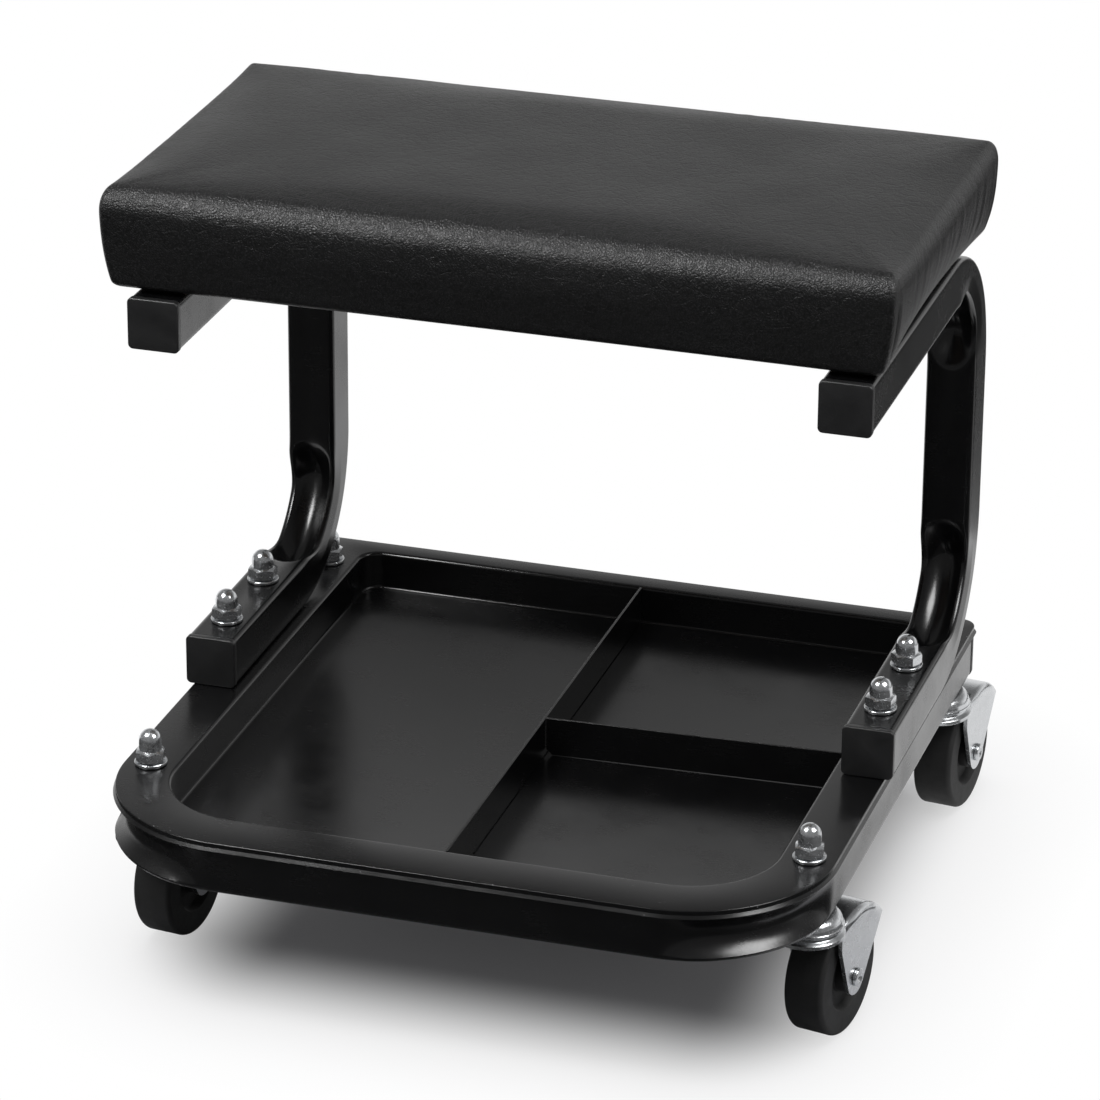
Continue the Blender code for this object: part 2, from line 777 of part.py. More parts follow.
def make_fork(name, pivot):
    """Stamped fork: two legs and a curved saddle in one sheet, with a turned crown round the pin."""
    loops = []
    for side in (-1, 1):
        turns = [0.0, math.radians(45.0), math.radians(90.0)]
        if side > 0:
            turns.reverse()
        for turn in turns:
            across = side * (fork_half_width - FORK_SHOULDER * (1.0 - math.cos(turn)))
            radius = fork_outer_radius - FORK_SHOULDER * (1.0 - math.sin(turn))
            loops.append([(across, CASTER_TRAIL + y, axle_height + z) for y, z in fork_outline(radius)])
    fork = add_object(name, skin(loops), dull_zinc(), pivot)

    inside = fork_outer_radius - FORK_SHEET
    outline = [(inside, -2 * WHEEL_RADIUS), (-inside, -2 * WHEEL_RADIUS)]
    for step in range(2 * FORK_STEPS + 1):
        turn = math.pi * (1.0 - step / (2 * FORK_STEPS))
        outline.append((inside * math.cos(turn), inside * math.sin(turn)))
    hollow = slab(
        outline,
        lambda y, z, w: (w, CASTER_TRAIL + y, axle_height + z),
        2 * (fork_half_width - FORK_SHEET),
    )
    cut(fork, add_cutter(f"{name}_hollow", hollow, pivot))

    ledge = crown_bottom + CROWN_THICKNESS / 2
    profile = [
        (CROWN_RADIUS, crown_bottom),
        (CROWN_RADIUS, ledge),
        (CROWN_RADIUS - CROWN_STEP, ledge + CROWN_STEP / 2),
        (CROWN_RADIUS - CROWN_STEP, fork_top),
    ]
    crown = [upright_loop(radius, height, ROUND_SIDES) for radius, height in profile]
    cut(fork, add_cutter(f"{name}_crown", skin(crown), pivot), "UNION")

    reach = 2 * fork_half_width
    hole = AXLE_RADIUS + HOLE_PLAY
    axle_hole = [
        [(x, y + CASTER_TRAIL, z + axle_height) for x, y, z in axle_loop(hole, across)] for across in (-reach, reach)
    ]
    pin_hole = upright_pin(THREAD_RADIUS + HOLE_PLAY, crown_bottom - reach / 4, fork_top + reach / 4)
    cut(fork, add_cutter(f"{name}_drill", join([skin(axle_hole), pin_hole]), pivot))


def make_wheel(name, axle):
    """Solid tyre and wheel in one moulding, hollowed on both sides round its hub."""
    half = WHEEL_WIDTH / 2
    bore = BUSH_RADIUS + CLEARANCE
    hub_half = half + FORK_GAP / 2
    rim = WHEEL_RECESS_RADIUS
    floor = half - WHEEL_RECESS_DEPTH
    profile = [
        (hub_half, bore),
        (hub_half, HUB_RADIUS),
        (floor, HUB_RADIUS),
        (floor, rim - WHEEL_RECESS_DEPTH / 4),
        (half, rim),
        (half, WHEEL_RADIUS - WHEEL_EDGE),
        (half - WHEEL_EDGE, WHEEL_RADIUS),
    ]
    whole = profile + [(-across, radius) for across, radius in reversed(profile)]
    loops = [axle_loop(radius, across, WHEEL_SIDES) for across, radius in whole]
    add_object(name, skin(loops, ring=True), black_rubber(), axle)


def make_wheel_bush(name, axle):
    """Plain sleeve between wheel and axle."""
    half = WHEEL_WIDTH / 2 + FORK_GAP - CLEARANCE
    inner = AXLE_RADIUS + CLEARANCE
    loops = [
        axle_loop(inner, -half),
        axle_loop(inner, half),
        axle_loop(BUSH_RADIUS, half),
        axle_loop(BUSH_RADIUS, -half),
    ]
    add_object(name, skin(loops, ring=True), bush_nylon(), axle)


def make_axle(name, axle):
    """Rivet through both legs."""
    face = fork_half_width + CLEARANCE
    profile = [
        (AXLE_HEAD_RADIUS * 0.7, face + AXLE_HEAD),
        (AXLE_HEAD_RADIUS, face + AXLE_HEAD * 0.4),
        (AXLE_HEAD_RADIUS, face),
        (AXLE_RADIUS, face),
    ]
    whole = profile + [(radius, -across) for radius, across in reversed(profile)]
    loops = [axle_loop(radius, across) for radius, across in whole]
    add_object(name, skin(loops), dull_zinc(), axle)


def make_caster(place, spot):
    """One swivel caster: it turns on its pin, and its wheel rolls on the axle behind that."""
    heading = CASTER_HEADINGS[place]
    make_caster_stem(f"{place}_caster_stem", spot)
    make_washer(f"{place}_caster_washer", spot, rim_top)
    make_cap_nut(f"{place}_caster_cap_nut", spot, rim_top)
    pivot = add_empty(f"{place}_swivel_axis", (*spot, 0.0), -heading, "chassis")
    axle = add_empty(f"{place}_wheel_axis", (0.0, CASTER_TRAIL, axle_height), 0.0, pivot)
    make_fork(f"{place}_caster_fork", pivot)
    make_axle(f"{place}_axle", axle)
    make_wheel(f"{place}_wheel", axle)
    make_wheel_bush(f"{place}_wheel_bush", axle)


# Seat


def seat_outline(inset, end_tuck, side_tuck, pull):
    """Plan of the cushion: drawn in all round by inset, its ends and sides tucked, its sides bowed in by pull."""
    half_length = seat_length / 2 - inset - end_tuck
    half_depth = SEAT_DEPTH / 2 - inset - side_tuck
    radius = max(SEAT_CORNER - inset / 2, SEAT_CORNER / 8)
    flat_x = half_length - radius
    flat_y = half_depth - radius
    points = []
    for quarter in range(4):
        turn = quarter * math.pi / 2
        corner_x = math.copysign(flat_x, math.cos(turn + math.pi / 4))
        corner_y = math.copysign(flat_y, math.sin(turn + math.pi / 4))
        for step in range(4):
            angle = turn + math.pi / 2 * step / 3
            points.append((corner_x + radius * math.cos(angle), corner_y + radius * math.sin(angle)))
        count = 7 if quarter % 2 == 0 else 3
        for step in range(1, count + 1):
            share = 1.0 - 2.0 * step / (count + 1)
            bow = pull * (1.0 - share * share)
            if quarter % 2 == 0:
                side = 1.0 if quarter == 0 else -1.0
                points.append((side * flat_x * share, side * (half_depth - bow)))
            else:
                side = -1.0 if quarter == 1 else 1.0
                points.append((side * (half_length - bow), -side * flat_y * share))
    return points


def board_slab(gap, bottom, top):
    """Flat board under the cushion, let out by gap for the pocket it sits in."""
    half_length = board_half_length + gap
    half_depth = board_half_depth + gap
    centre = along(seat_front + SEAT_DEPTH / 2)
    corners = [(1, 1), (-1, 1), (-1, -1), (1, -1)]
    return skin(
        [[(x * half_length, centre + y * half_depth, height) for x, y in corners] for height in (bottom, top)]
    )


def make_seat():
    """Foam cushion in a wrapped cover over a screwed board; sides drawn in below, top crowned."""
    centre = along(seat_front + SEAT_DEPTH / 2)
    half_depth = SEAT_DEPTH / 2
    height = SEAT_THICKNESS
    low, high = SEAT_BOTTOM_EDGE, SEAT_TOP_EDGE
    profile = [
        (low, 0.0),
        (0.3 * low, 0.3 * low),
        (0.0, low),
        (0.0, (low + height - high) / 2),
        (0.0, height - high),
        (0.08 * high, height - 0.6 * high),
        (0.3 * high, height - 0.3 * high),
        (high, height),
    ]
    profile += [(half_depth * share, height) for share in (0.3, 0.55, 0.8)]
    loops = []
    for inset, rise in profile:
        drop = 1.0 - rise / height
        raised = max(0.0, (rise - (height - high)) / high)
        outline = seat_outline(inset, SEAT_END_TUCK * drop**1.5, SEAT_SIDE_TUCK * drop**1.5, SEAT_PULL * drop)
        loop = []
        for x, y in outline:
            swell = (1.0 - (2 * x / seat_length) ** 2) * (1.0 - (y / half_depth) ** 2)
            loop.append((x, centre + y, seat_bottom + rise + SEAT_CROWN * raised * swell))
        loops.append(loop)
    cushion = add_object("seat_cushion", skin(loops), vinyl(), "seat")
    pocket = board_slab(CLEARANCE, seat_bottom - half_tube, seat_bottom + BOARD_THICKNESS + CLEARANCE)
    cut(cushion, add_cutter("seat_cushion_pocket", pocket, "seat"))

    board = add_object("seat_board", board_slab(0.0, seat_bottom, seat_bottom + BOARD_THICKNESS), plywood(), "seat")
    drills = []
    for side in (-1, 1):
        for spot in screw_places(side):
            drills.append(
                upright_pin(SCREW_RADIUS + CLEARANCE, top_tube_bottom, seat_bottom + SCREW_BITE + CLEARANCE, spot)
            )
    cut(board, add_cutter("seat_board_drill", join(drills)))


def main():
    for thing in list(bpy.data.objects):
        bpy.data.objects.remove(thing)
    add_empty("seat", (0.0, 0.0, 0.0))
    add_empty("chassis", (SEAT_OFFSET, 0.0, 0.0))
    for side in (-1, 1):
        make_seat_frame(side)
        make_foot_fasteners(side)
        make_seat_screws(side)
    make_base_frame()
    make_end_caps()
    make_tray()
    make_dividers()
    for place, spot in caster_places().items():
        make_caster(place, spot)
    make_seat()
    bpy.context.view_layer.update()


main()
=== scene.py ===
"""Looks of the rolling mechanic stool: finishes, fine shapes and the padded seat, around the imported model.

Metres, +Z up, +X to the right as seen from the front, +Y to the rear. Places and main sizes are read from the
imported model's boxes and joints; the values below are the ones that only the looks need.
"""

import json
import math

import bmesh
import bpy
import numpy as np
from mathutils import Matrix, Vector


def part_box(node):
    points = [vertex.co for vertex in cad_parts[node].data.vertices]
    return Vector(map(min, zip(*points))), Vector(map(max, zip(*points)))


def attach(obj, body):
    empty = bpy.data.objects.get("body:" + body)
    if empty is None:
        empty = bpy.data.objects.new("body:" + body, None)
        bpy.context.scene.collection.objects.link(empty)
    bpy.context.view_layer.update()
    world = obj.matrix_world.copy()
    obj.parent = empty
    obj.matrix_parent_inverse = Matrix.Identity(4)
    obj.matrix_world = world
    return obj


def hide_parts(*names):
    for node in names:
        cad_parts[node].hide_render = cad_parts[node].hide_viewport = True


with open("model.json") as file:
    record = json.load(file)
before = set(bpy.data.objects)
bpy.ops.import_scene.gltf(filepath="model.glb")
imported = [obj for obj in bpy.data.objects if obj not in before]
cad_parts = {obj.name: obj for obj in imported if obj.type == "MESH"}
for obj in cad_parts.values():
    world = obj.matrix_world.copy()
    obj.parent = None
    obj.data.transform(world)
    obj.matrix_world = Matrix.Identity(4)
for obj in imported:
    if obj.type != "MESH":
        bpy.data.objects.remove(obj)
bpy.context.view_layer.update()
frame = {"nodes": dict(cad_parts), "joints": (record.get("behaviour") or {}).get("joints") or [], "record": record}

# Camera, fitted to the tube ends in the photograph
CAMERA_PLACE = (0.7026, -2.2610, 1.2113)
CAMERA_AZIMUTH = 17.182
CAMERA_ELEVATION = 23.451
CAMERA_ROLL = 0.408
CAMERA_LENS = 173.80

# Words that the names of nodes are made of
SIDES = ("left", "right")
ENDS = ("front", "rear")
CASTERS = [f"{end}_{side}" for end in ENDS for side in SIDES]

# Square tube and its bends; crush, hollow, pinch and arch shape the face that gives way
TUBE_CORNER = 0.0025
TUBE_FACETS = 120
CORNER_FACETS = 8
BEND_STEPS = 36
FRAME_BEND_RADIUS = 0.062
FRAME_BEND = {"Crush": 0.008, "Hollow": 0.0055, "Pinch": 0.10, "Arch": 0.10, "Giving face": 1.0}
BASE_BEND_RADIUS = 0.058
BASE_BEND = {"Crush": -0.0011, "Hollow": 0.0062, "Pinch": 0.0, "Arch": 0.0, "Giving face": -1.0}
CRUSH_RAMP = 0.26

# Pressed sheet
SHEET = 0.0012
SEAT_GAP = 0.0003
LIP_STRAIGHT = 0.0003
REAR_RIM = 0.014
REAR_CORNER = 0.009
PAN_DEPTH = 0.020
PAN_REAR_CORNER = 0.010
PAN_FLOOR_RADIUS = 0.0016
SHEET_EDGE = 0.00035
LIP_BEAD = 0.0011
LIP_ROLL = 0.0005
PAN_ROLL = 0.0020
QUARTER_STEPS = 6

# Points closer than this are one point
WELD = 0.00001

# End caps
CAP_EDGE = 0.0007
CAP_SEAM = 0.0005
CAP_FLANGE = 0.004
CAP_CROWN = 0.0004
CAP_PROUD = 0.00028

# Fasteners
NUT_FLATS = 0.0132
NUT_HEX_HEIGHT = 0.0053
NUT_DOME_RADIUS = 0.0056
STEM_NUT_EXTRA = 0.0014
NUT_CHAMFER = 0.0004
NUT_SIDES = 72
BEARING_SHARE = 0.96
CHAMFER_SLOPE = math.tan(math.radians(30.0))
BOLT_FLATS = 0.0104
BOLT_HEAD = 0.0036
WASHER_RADIUS = 0.0080
WASHER_BORE = 0.0044
WASHER_THICKNESS = 0.0016
WASHER_SPLIT = math.radians(9.0)
WASHER_SPRING = 0.00025
WASHER_TURN = 1.9
SCREW_HEAD = 0.0035
SCREW_SHANK = 0.003
SCREW_SIDES = 32

# Casters
FORK_SHEET = 0.002
FORK_SHOULDER = 0.0035
FORK_JOGGLE = 0.0015
# Share of the joggle, and drop below the shoulder, at each point of its run
FORK_JOGGLE_RUN = ((0.0, 0.0036), (0.15, 0.0030), (0.85, 0.0012))
FORK_LEG_END_RADIUS = 0.009
FORK_FRONT_REACH = 0.0167
FORK_FRONT_DROP = 0.020
FORK_REAR_ANGLE = math.radians(40.0)
FORK_EDGE = 0.0004
FORK_SET_IN = 0.00003
FORK_RUN_OUT = 6
FORK_STEPS = 22
CROWN_RADIUS = 0.0180
CROWN_STEP = 0.0018
CROWN_THICKNESS = 0.0051
RACE_NECK_RADIUS = 0.0125
THREAD_RADIUS = 0.004
WHEEL_HALF = 0.010
WHEEL_GAP = 0.002
WHEEL_EDGE = 0.0025
WHEEL_RECESS_RADIUS = 0.0178
WHEEL_RECESS_DEPTH = 0.004
HUB_RADIUS = 0.0085
HUB_PROUD = 0.001
BUSH_RADIUS = 0.005
RIVET_RADIUS = 0.0045
RIVET_HEAD = 0.0018
RIVET_DIMPLE = 0.0022
RIVET_EDGE = 0.0009
RIVET_SHANK = 0.003
ROUND_SIDES = 96

# Light of the room in front, as gloss sees it, and of the fill that reaches matt surfaces
ROOM_LIGHT = 0.2
FILL_LIGHT = 0.42

# Floor, the patch of it round the stool that keeps its shadow, and the height of the dark sheets on it, seen only
# in gloss
FLOOR_HALF = 6.0
SHADOW_SHIFT = (-0.005, -0.036, 0.0)
SHADOW_HALF = (0.105, 0.129, 0.0)
FLAG_LIFT = 0.001

# Padded seat
SEAT_STEP = 0.0042
SEAT_TOP_ROLL = 0.0130
SEAT_END_ROLL = 0.0060
SEAT_FRONT_ROLL = 0.0110
SEAT_HEM_ROLL = 0.005
SEAT_CROWN = 0.0012
SEAT_SLUMP = 0.0022
SEAT_SLUMP_REACH = 0.040
SEAT_END_TUCK = 0.0060
SEAT_SIDE_TUCK = 0.0016
SEAT_BOW = 0.0014
SEAT_END_BOW = 0.0060
SEAT_SLACK = 0.0014
SEAT_SWELL_CAP = 0.0035
PLEAT_DEPTH = 0.0014
PLEAT_INSET = 0.0085
PLEAT_WIDTH = 0.0014
BOARD_GAP = 0.0003
BOARD_INSET = 0.0005
BOARD_CUTS = 12
ROLL_STEPS = 4
HEM_STEPS = 3

# Depths of the cover's waves and creases
FOAM_WAVE = 0.00014
FAN_WAVE = 0.00010
NIP_WAVE = 0.00016
END_WAVE = 0.00032

# Simulation of the cover: the points in the group named here are held
STAPLES = "staples"
CLOTH_FRAMES = 20
COVER_CLOTH = {
    "quality": 6,
    "mass": 0.25,
    "tension_stiffness": 25.0,
    "compression_stiffness": 25.0,
    "shear_stiffness": 12.0,
    "bending_stiffness": 3.0,
    "use_pressure": True,
    "uniform_pressure_force": 0.35,
    "vertex_group_mass": STAPLES,
}


def tube_side():
    low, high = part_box("left_seat_frame")
    return high.x - low.x


TUBE = tube_side()


# Colours and nodes

MATH = "ShaderNodeMath"
VECTOR = "ShaderNodeVectorMath"
RANGE = "ShaderNodeMapRange"
NOISE = "ShaderNodeTexNoise"
VORONOI = "ShaderNodeTexVoronoi"
MIX = "ShaderNodeMix"


def linear(code):
    """Linear colour of an sRGB hex value."""
    shares = [(code >> shift & 255) / 255 for shift in (16, 8, 0)]
    return [s / 12.92 if s <= 0.04045 else ((s + 0.055) / 1.055) ** 2.4 for s in shares] + [1.0]


def per_mm(size):
    """Texture scale of a pattern whose cells are that many millimetres across."""
    return 1000.0 / size


def plug(tree, node, plugs):
    """Sets a node's inputs: a value, a socket that feeds one, or a node whose first output does."""
    for key, value in plugs.items():
        if isinstance(value, bpy.types.Node):
            value = next(socket for socket in value.outputs if socket.enabled)
        if isinstance(value, bpy.types.NodeSocket):
            tree.links.new(value, node.inputs[key])
        else:
            node.inputs[key].default_value = value


def add(tree, kind, plugs=None, **settings):
    """Adds a node with its settings and plugs."""
    made = tree.nodes.new(kind)
    for key, value in settings.items():
        setattr(made, key, value)
    plug(tree, made, plugs or {})
    return made


def new_material(name, **constants):
    """A Principled material with its constant sockets set, and the Object coordinates its patterns use."""
    material = bpy.data.materials.new(name)
    material.use_nodes = True
    tree = material.node_tree
    shader = tree.nodes["Principled BSDF"]
    plug(tree, shader, {key.replace("_", " "): value for key, value in constants.items()})
    place = add(tree, "ShaderNodeTexCoord").outputs["Object"]
    return material, tree, shader, place


def dress(tree, shader, tint, sheen, relief):
    """Links up a finish.

    tint is a field and the two colours it mixes, sheen a field, its two ends and the roughness at each,
    and relief a height, the strength of its bump and its depth in metres.
    """
    colour = add(tree, MIX, dict(zip((0, 6, 7), tint)), data_type="RGBA")
    dull = add(tree, RANGE, dict(zip(("Value", "From Min", "From Max", "To Min", "To Max"), sheen)))
    bump = add(tree, "ShaderNodeBump", dict(zip(("Height", "Strength", "Distance"), relief)))
    plug(tree, shader, {"Base Color": colour, "Roughness": dull, "Normal": bump})


# Finishes


def powder_coat():
    """Powder coat, baked on steel: deep black with faint orange peel, duller where it is rubbed."""
    material, tree, shader, place = new_material("black_powder_coat", IOR=1.48)
    rub = add(tree, NOISE, {"Vector": place, "Scale": per_mm(38), "Detail": 5.0, "Roughness": 0.6})
    along = add(tree, "ShaderNodeMapping", {"Vector": place, "Scale": (0.12, 1.0, 1.0)})
    scuff = add(tree, NOISE, {"Vector": along, "Scale": per_mm(1.1), "Detail": 3.0, "Roughness": 0.65})
    worn = add(tree, MATH, {0: scuff, 1: 0.35, 2: rub}, operation="MULTIPLY_ADD")
    black = add(tree, MIX, {0: rub, 6: linear(0x070708), 7: linear(0x0D0D0E)}, data_type="RGBA")
    # Chips show on the edges that the mesh marks, as specks of bare metal grey about 0.6 mm across
    edge = add(tree, "ShaderNodeAttribute", attribute_name="edge_wear").outputs["Fac"]
    specks = add(tree, NOISE, {"Vector": place, "Scale": per_mm(2.2), "Detail": 4.0})
    chance = add(tree, MATH, {0: specks, 1: edge}, operation="MULTIPLY")
    chip = add(tree, RANGE, {"Value": chance, "From Min": 0.71, "From Max": 0.74})
    peel = add(tree, NOISE, {"Vector": place, "Scale": per_mm(1.8), "Detail": 2.0})
    relief = add(tree, MATH, {0: chip, 1: -0.8, 2: peel}, operation="MULTIPLY_ADD")
    tint = (chip, black, linear(0x8A8A8C))
    dress(tree, shader, tint, (worn, 0.45, 0.9, 0.17, 0.31), (relief, 0.22, 0.00006))
    return material


def seat_vinyl():
    """Upholstery vinyl, embossed like hide: pebbles a little over a millimetre wide, creases, and painted shade in
    the grooves.
    """
    material, tree, shader, place = new_material("black_vinyl", IOR=1.44)
    warp = add(tree, NOISE, {"Vector": place, "Scale": per_mm(4.0), "Detail": 3.0}).outputs["Color"]
    shift = add(tree, VECTOR, {0: warp, 1: (0.0012, 0.0012, 0.0012), 2: place}, operation="MULTIPLY_ADD")
    pebble = add(tree, VORONOI, {"Vector": shift, "Scale": per_mm(1.3)}, feature="DISTANCE_TO_EDGE")
    domes_and_groove_shade = add(tree, RANGE, {"Value": pebble, "From Max": 0.32})
    winding = {"Detail": 7.0, "Roughness": 0.62, "Distortion": 1.4}
    crease = add(tree, NOISE, {"Vector": place, "Scale": per_mm(7.0), **winding})
    bent = {0: crease.outputs["Color"], 1: (0.006, 0.006, 0.006), 2: place}
    fold = add(tree, VECTOR, bent, operation="MULTIPLY_ADD")
    cracks = add(tree, VORONOI, {"Vector": fold, "Scale": per_mm(7.0)}, feature="DISTANCE_TO_EDGE")
    grooves = add(tree, RANGE, {"Value": cracks, "From Max": 0.10, "To Max": 0.9})
    coarse = add(tree, MATH, {0: crease, 1: 1.9, 2: domes_and_groove_shade}, operation="MULTIPLY_ADD")
    relief = add(tree, MATH, {0: coarse, 1: grooves}, operation="ADD")
    wear = add(tree, NOISE, {"Vector": place, "Scale": per_mm(55), "Detail": 3.0})
    # Painted shade: the colour is darker in the grooves between the pebbles and paler on their tops
    tint = (domes_and_groove_shade, linear(0x040404), linear(0x1B1B1C))
    dress(tree, shader, tint, (wear, 0.3, 0.7, 0.39, 0.46), (relief, 0.6, 0.0002))
    return material


def cap_plastic():
    """Polyethylene plug moulded in a spark-eroded tool: dull black with a fine even grain."""
    material, tree, shader, place = new_material("black_cap_plastic", IOR=1.51)
    # The real grain is about 0.2 mm wide, too fine to show, so it is drawn coarser
    grain = add(tree, NOISE, {"Vector": place, "Scale": per_mm(0.9), "Detail": 3.0})
    cloud = add(tree, NOISE, {"Vector": place, "Scale": per_mm(14), "Detail": 3.0})
    tint = (cloud, linear(0x151516), linear(0x1D1D1E))
    dress(tree, shader, tint, (cloud, 0.3, 0.7, 0.40, 0.52), (grain, 0.35, 0.00008))
    return material


def zinc_plate(name, metal, dark, pale, smooth, rough, spangle, grit, pits):
    """Zinc plate on steel: spangle is the width of its patches and grit of its pits, in mm."""
    material, tree, shader, place = new_material(name, Metallic=metal)
    patches = {"Scale": per_mm(spangle), "Detail": 4.0, "Roughness": 0.6, "Distortion": 0.6}
    cloud = add(tree, NOISE, {"Vector": place, **patches})
    # Real pits are about 0.1 mm wide, too fine to show, so grit is coarser
    marks = add(tree, NOISE, {"Vector": place, "Scale": per_mm(grit), "Detail": 4.0, "Roughness": 0.7})
    tint = (cloud, linear(dark), linear(pale))
    dress(tree, shader, tint, (cloud, 0.3, 0.7, smooth, rough), (marks, pits, 0.00005))
    return material


def wheel_rubber():
    """Solid moulded rubber: matt black, greyed by floor dust, with the grain of its mould."""
    material, tree, shader, place = new_material("black_wheel_rubber", IOR=1.50)
    # The mould's real grain is about 0.3 mm wide, too fine to show, so it is drawn coarser
    grain = add(tree, NOISE, {"Vector": place, "Scale": per_mm(1.0), "Detail": 4.0, "Roughness": 0.7})
    dust = add(tree, NOISE, {"Vector": place, "Scale": per_mm(9), "Detail": 6.0, "Roughness": 0.7})
    spread = add(tree, RANGE, {"Value": dust, "From Min": 0.35, "From Max": 0.75})
    tint = (spread, linear(0x060606), linear(0x0F0F0F))
    dress(tree, shader, tint, (spread, 0.0, 1.0, 0.68, 0.84), (grain, 0.4, 0.00012))
    return material


def bush_nylon():
    """Natural nylon, moulded: off-white and slightly waxy, greyed a little by grease."""
    material, tree, shader, place = new_material("white_nylon", IOR=1.53, Subsurface_Weight=0.05)
    grease = add(tree, NOISE, {"Vector": place, "Scale": per_mm(5), "Detail": 3.0})
    # The mould's real grain is about 0.1 mm wide, too fine to show, so it is drawn coarser
    marks = add(tree, NOISE, {"Vector": place, "Scale": per_mm(0.6), "Detail": 2.0})
    tint = (grease, linear(0xC9C6BC), linear(0xE6E3DA))
    dress(tree, shader, tint, (grease, 0.0, 1.0, 0.35, 0.5), (marks, 0.2, 0.00005))
    return material


def seat_plywood():
    """Rotary-cut plywood: pale brown bands that run the length of the board, with fine dark pores."""
    material, tree, shader, place = new_material("plywood", IOR=1.50)
    stretched = add(tree, "ShaderNodeMapping", {"Vector": place, "Scale": (0.08, 1.0, 1.0)})
    bands = add(tree, NOISE, {"Vector": stretched, "Scale": per_mm(11), "Detail": 6.0, "Distortion": 0.8})
    # Real pores are about 0.2 mm wide, too fine to show, so they are drawn coarser
    pores = add(tree, NOISE, {"Vector": stretched, "Scale": per_mm(0.8), "Detail": 3.0, "Roughness": 0.7})
    grain = add(tree, MATH, {0: bands, 1: pores}, operation="MULTIPLY")
    tint = (grain, linear(0x52463A), linear(0x7E6E5C))
    dress(tree, shader, tint, (pores, 0.0, 1.0, 0.6, 0.8), (pores, 0.3, 0.0001))
    return material


def make_finishes():
    """One material for each slot of the record."""
    return {
        "black_powder_coat": powder_coat(),
        "black_vinyl": seat_vinyl(),
        "black_cap_plastic": cap_plastic(),
        "bright_zinc": zinc_plate("bright_zinc", 0.9, 0xB4B6B8, 0xE8EAEC, 0.10, 0.30, 1.3, 0.55, 0.2),
        "dull_zinc": zinc_plate("dull_zinc", 1.0, 0xAEB0B2, 0xDADCDE, 0.18, 0.30, 4.0, 0.6, 0.1),
        "black_wheel_rubber": wheel_rubber(),
        "white_nylon": bush_nylon(),
        "plywood": seat_plywood(),
    }


# Mesh tools


def skin(loops, ring=False):
    """Bridges equal loops of points in order; the end loops are filled, or joined for a ring."""
    mesh = bmesh.new()
    rows = [[mesh.verts.new(point) for point in loop] for loop in loops]
    pairs = list(zip(rows, rows[1:]))
    if ring:
        pairs.append((rows[-1], rows[0]))
    else:
        mesh.faces.new(rows[0])
        mesh.faces.new(rows[-1])
    for lower, upper in pairs:
        for i in range(len(lower)):
            j = (i + 1) % len(lower)
            mesh.faces.new((lower[i], lower[j], upper[j], upper[i]))
    bmesh.ops.recalc_face_normals(mesh, faces=mesh.faces)
    return mesh


def shade(data, sharp):
    """Shades mesh data smooth across edges shallower than sharp degrees."""
    data.shade_smooth()
    data.set_sharp_from_angle(angle=math.radians(sharp))


def to_data(mesh, name, material, sharp=30.0):
    """Shaded mesh data of a bmesh, which is then freed."""
    data = bpy.data.meshes.new(name)
    mesh.to_mesh(data)
    mesh.free()
    data.materials.append(material)
    shade(data, sharp)
    return data


def spots_of(data):
    return np.array([vertex.co for vertex in data.vertices])


def move_to(data, spots):
    data.vertices.foreach_set("co", spots.astype(np.float32).ravel())
    data.update()


def evaluated(holder):
    """Plain mesh of an object with its modifiers run, after which the object is gone."""
    graph = bpy.context.evaluated_depsgraph_get()
    data = bpy.data.meshes.new_from_object(
        holder.evaluated_get(graph), preserve_all_data_layers=True, depsgraph=graph
    )
    bpy.data.objects.remove(holder)
    return data


def hold(data, name="holder"):
    """An object in the scene that carries mesh data while it is worked on."""
    holder = bpy.data.objects.new(name, data)
    bpy.context.scene.collection.objects.link(holder)
    return holder


def add_piece(name, data, body, slot, *nodes):
    """A finished piece that stands for CAD nodes and rides on their body."""
    data.name = name
    piece = hold(data, name)
    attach(piece, body)
    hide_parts(*nodes)
    return piece


def circle(radius, sides):
    turns = [2 * math.pi * i / sides for i in range(sides)]
    return [(radius * math.cos(turn), radius * math.sin(turn)) for turn in turns]


def upright_loop(radius, height, sides=ROUND_SIDES):
    return [(u, v, height) for u, v in circle(radius, sides)]


def axle_loop(radius, across):
    return [(across, u, v) for u, v in circle(radius, ROUND_SIDES)]


def arc(centre, radius, start, end, steps):
    """Points (u, v) on a circle, from one angle in degrees to another."""
    points = []
    for step in range(steps + 1):
        turn = math.radians(start + (end - start) * step / steps)
        points.append((centre[0] + radius * math.cos(turn), centre[1] + radius * math.sin(turn)))
    return points


# Geometry Nodes


def geometry_tree(name, inputs):
    """A tree with a geometry input and output and the named size inputs, and its input sockets."""
    tree = bpy.data.node_groups.new(name, "GeometryNodeTree")
    tree.interface.new_socket("Geometry", in_out="INPUT", socket_type="NodeSocketGeometry")
    tree.interface.new_socket("Geometry", in_out="OUTPUT", socket_type="NodeSocketGeometry")
    for label, kind in inputs.items():
        tree.interface.new_socket(label, in_out="INPUT", socket_type=f"NodeSocket{kind}")
    return tree, add(tree, "NodeGroupInput").outputs


def close_tree(tree, geometry, finish):
    """Ends a tree: real geometry, one material."""
    real = add(tree, "GeometryNodeRealizeInstances", {"Geometry": geometry})
    coated = add(tree, "GeometryNodeSetMaterial", {"Geometry": real, "Material": finish})
    add(tree, "NodeGroupOutput", {"Geometry": coated})


def grow(tree, host, values):
    """The plain mesh that a tree makes from host mesh data, with each named input set."""
    holder = hold(host)
    modifier = holder.modifiers.new(tree.name, "NODES")
    modifier.node_group = tree
    for item in tree.interface.items_tree:
        if item.in_out == "INPUT" and item.name in values:
            modifier[item.identifier] = values[item.name]
    return evaluated(holder)


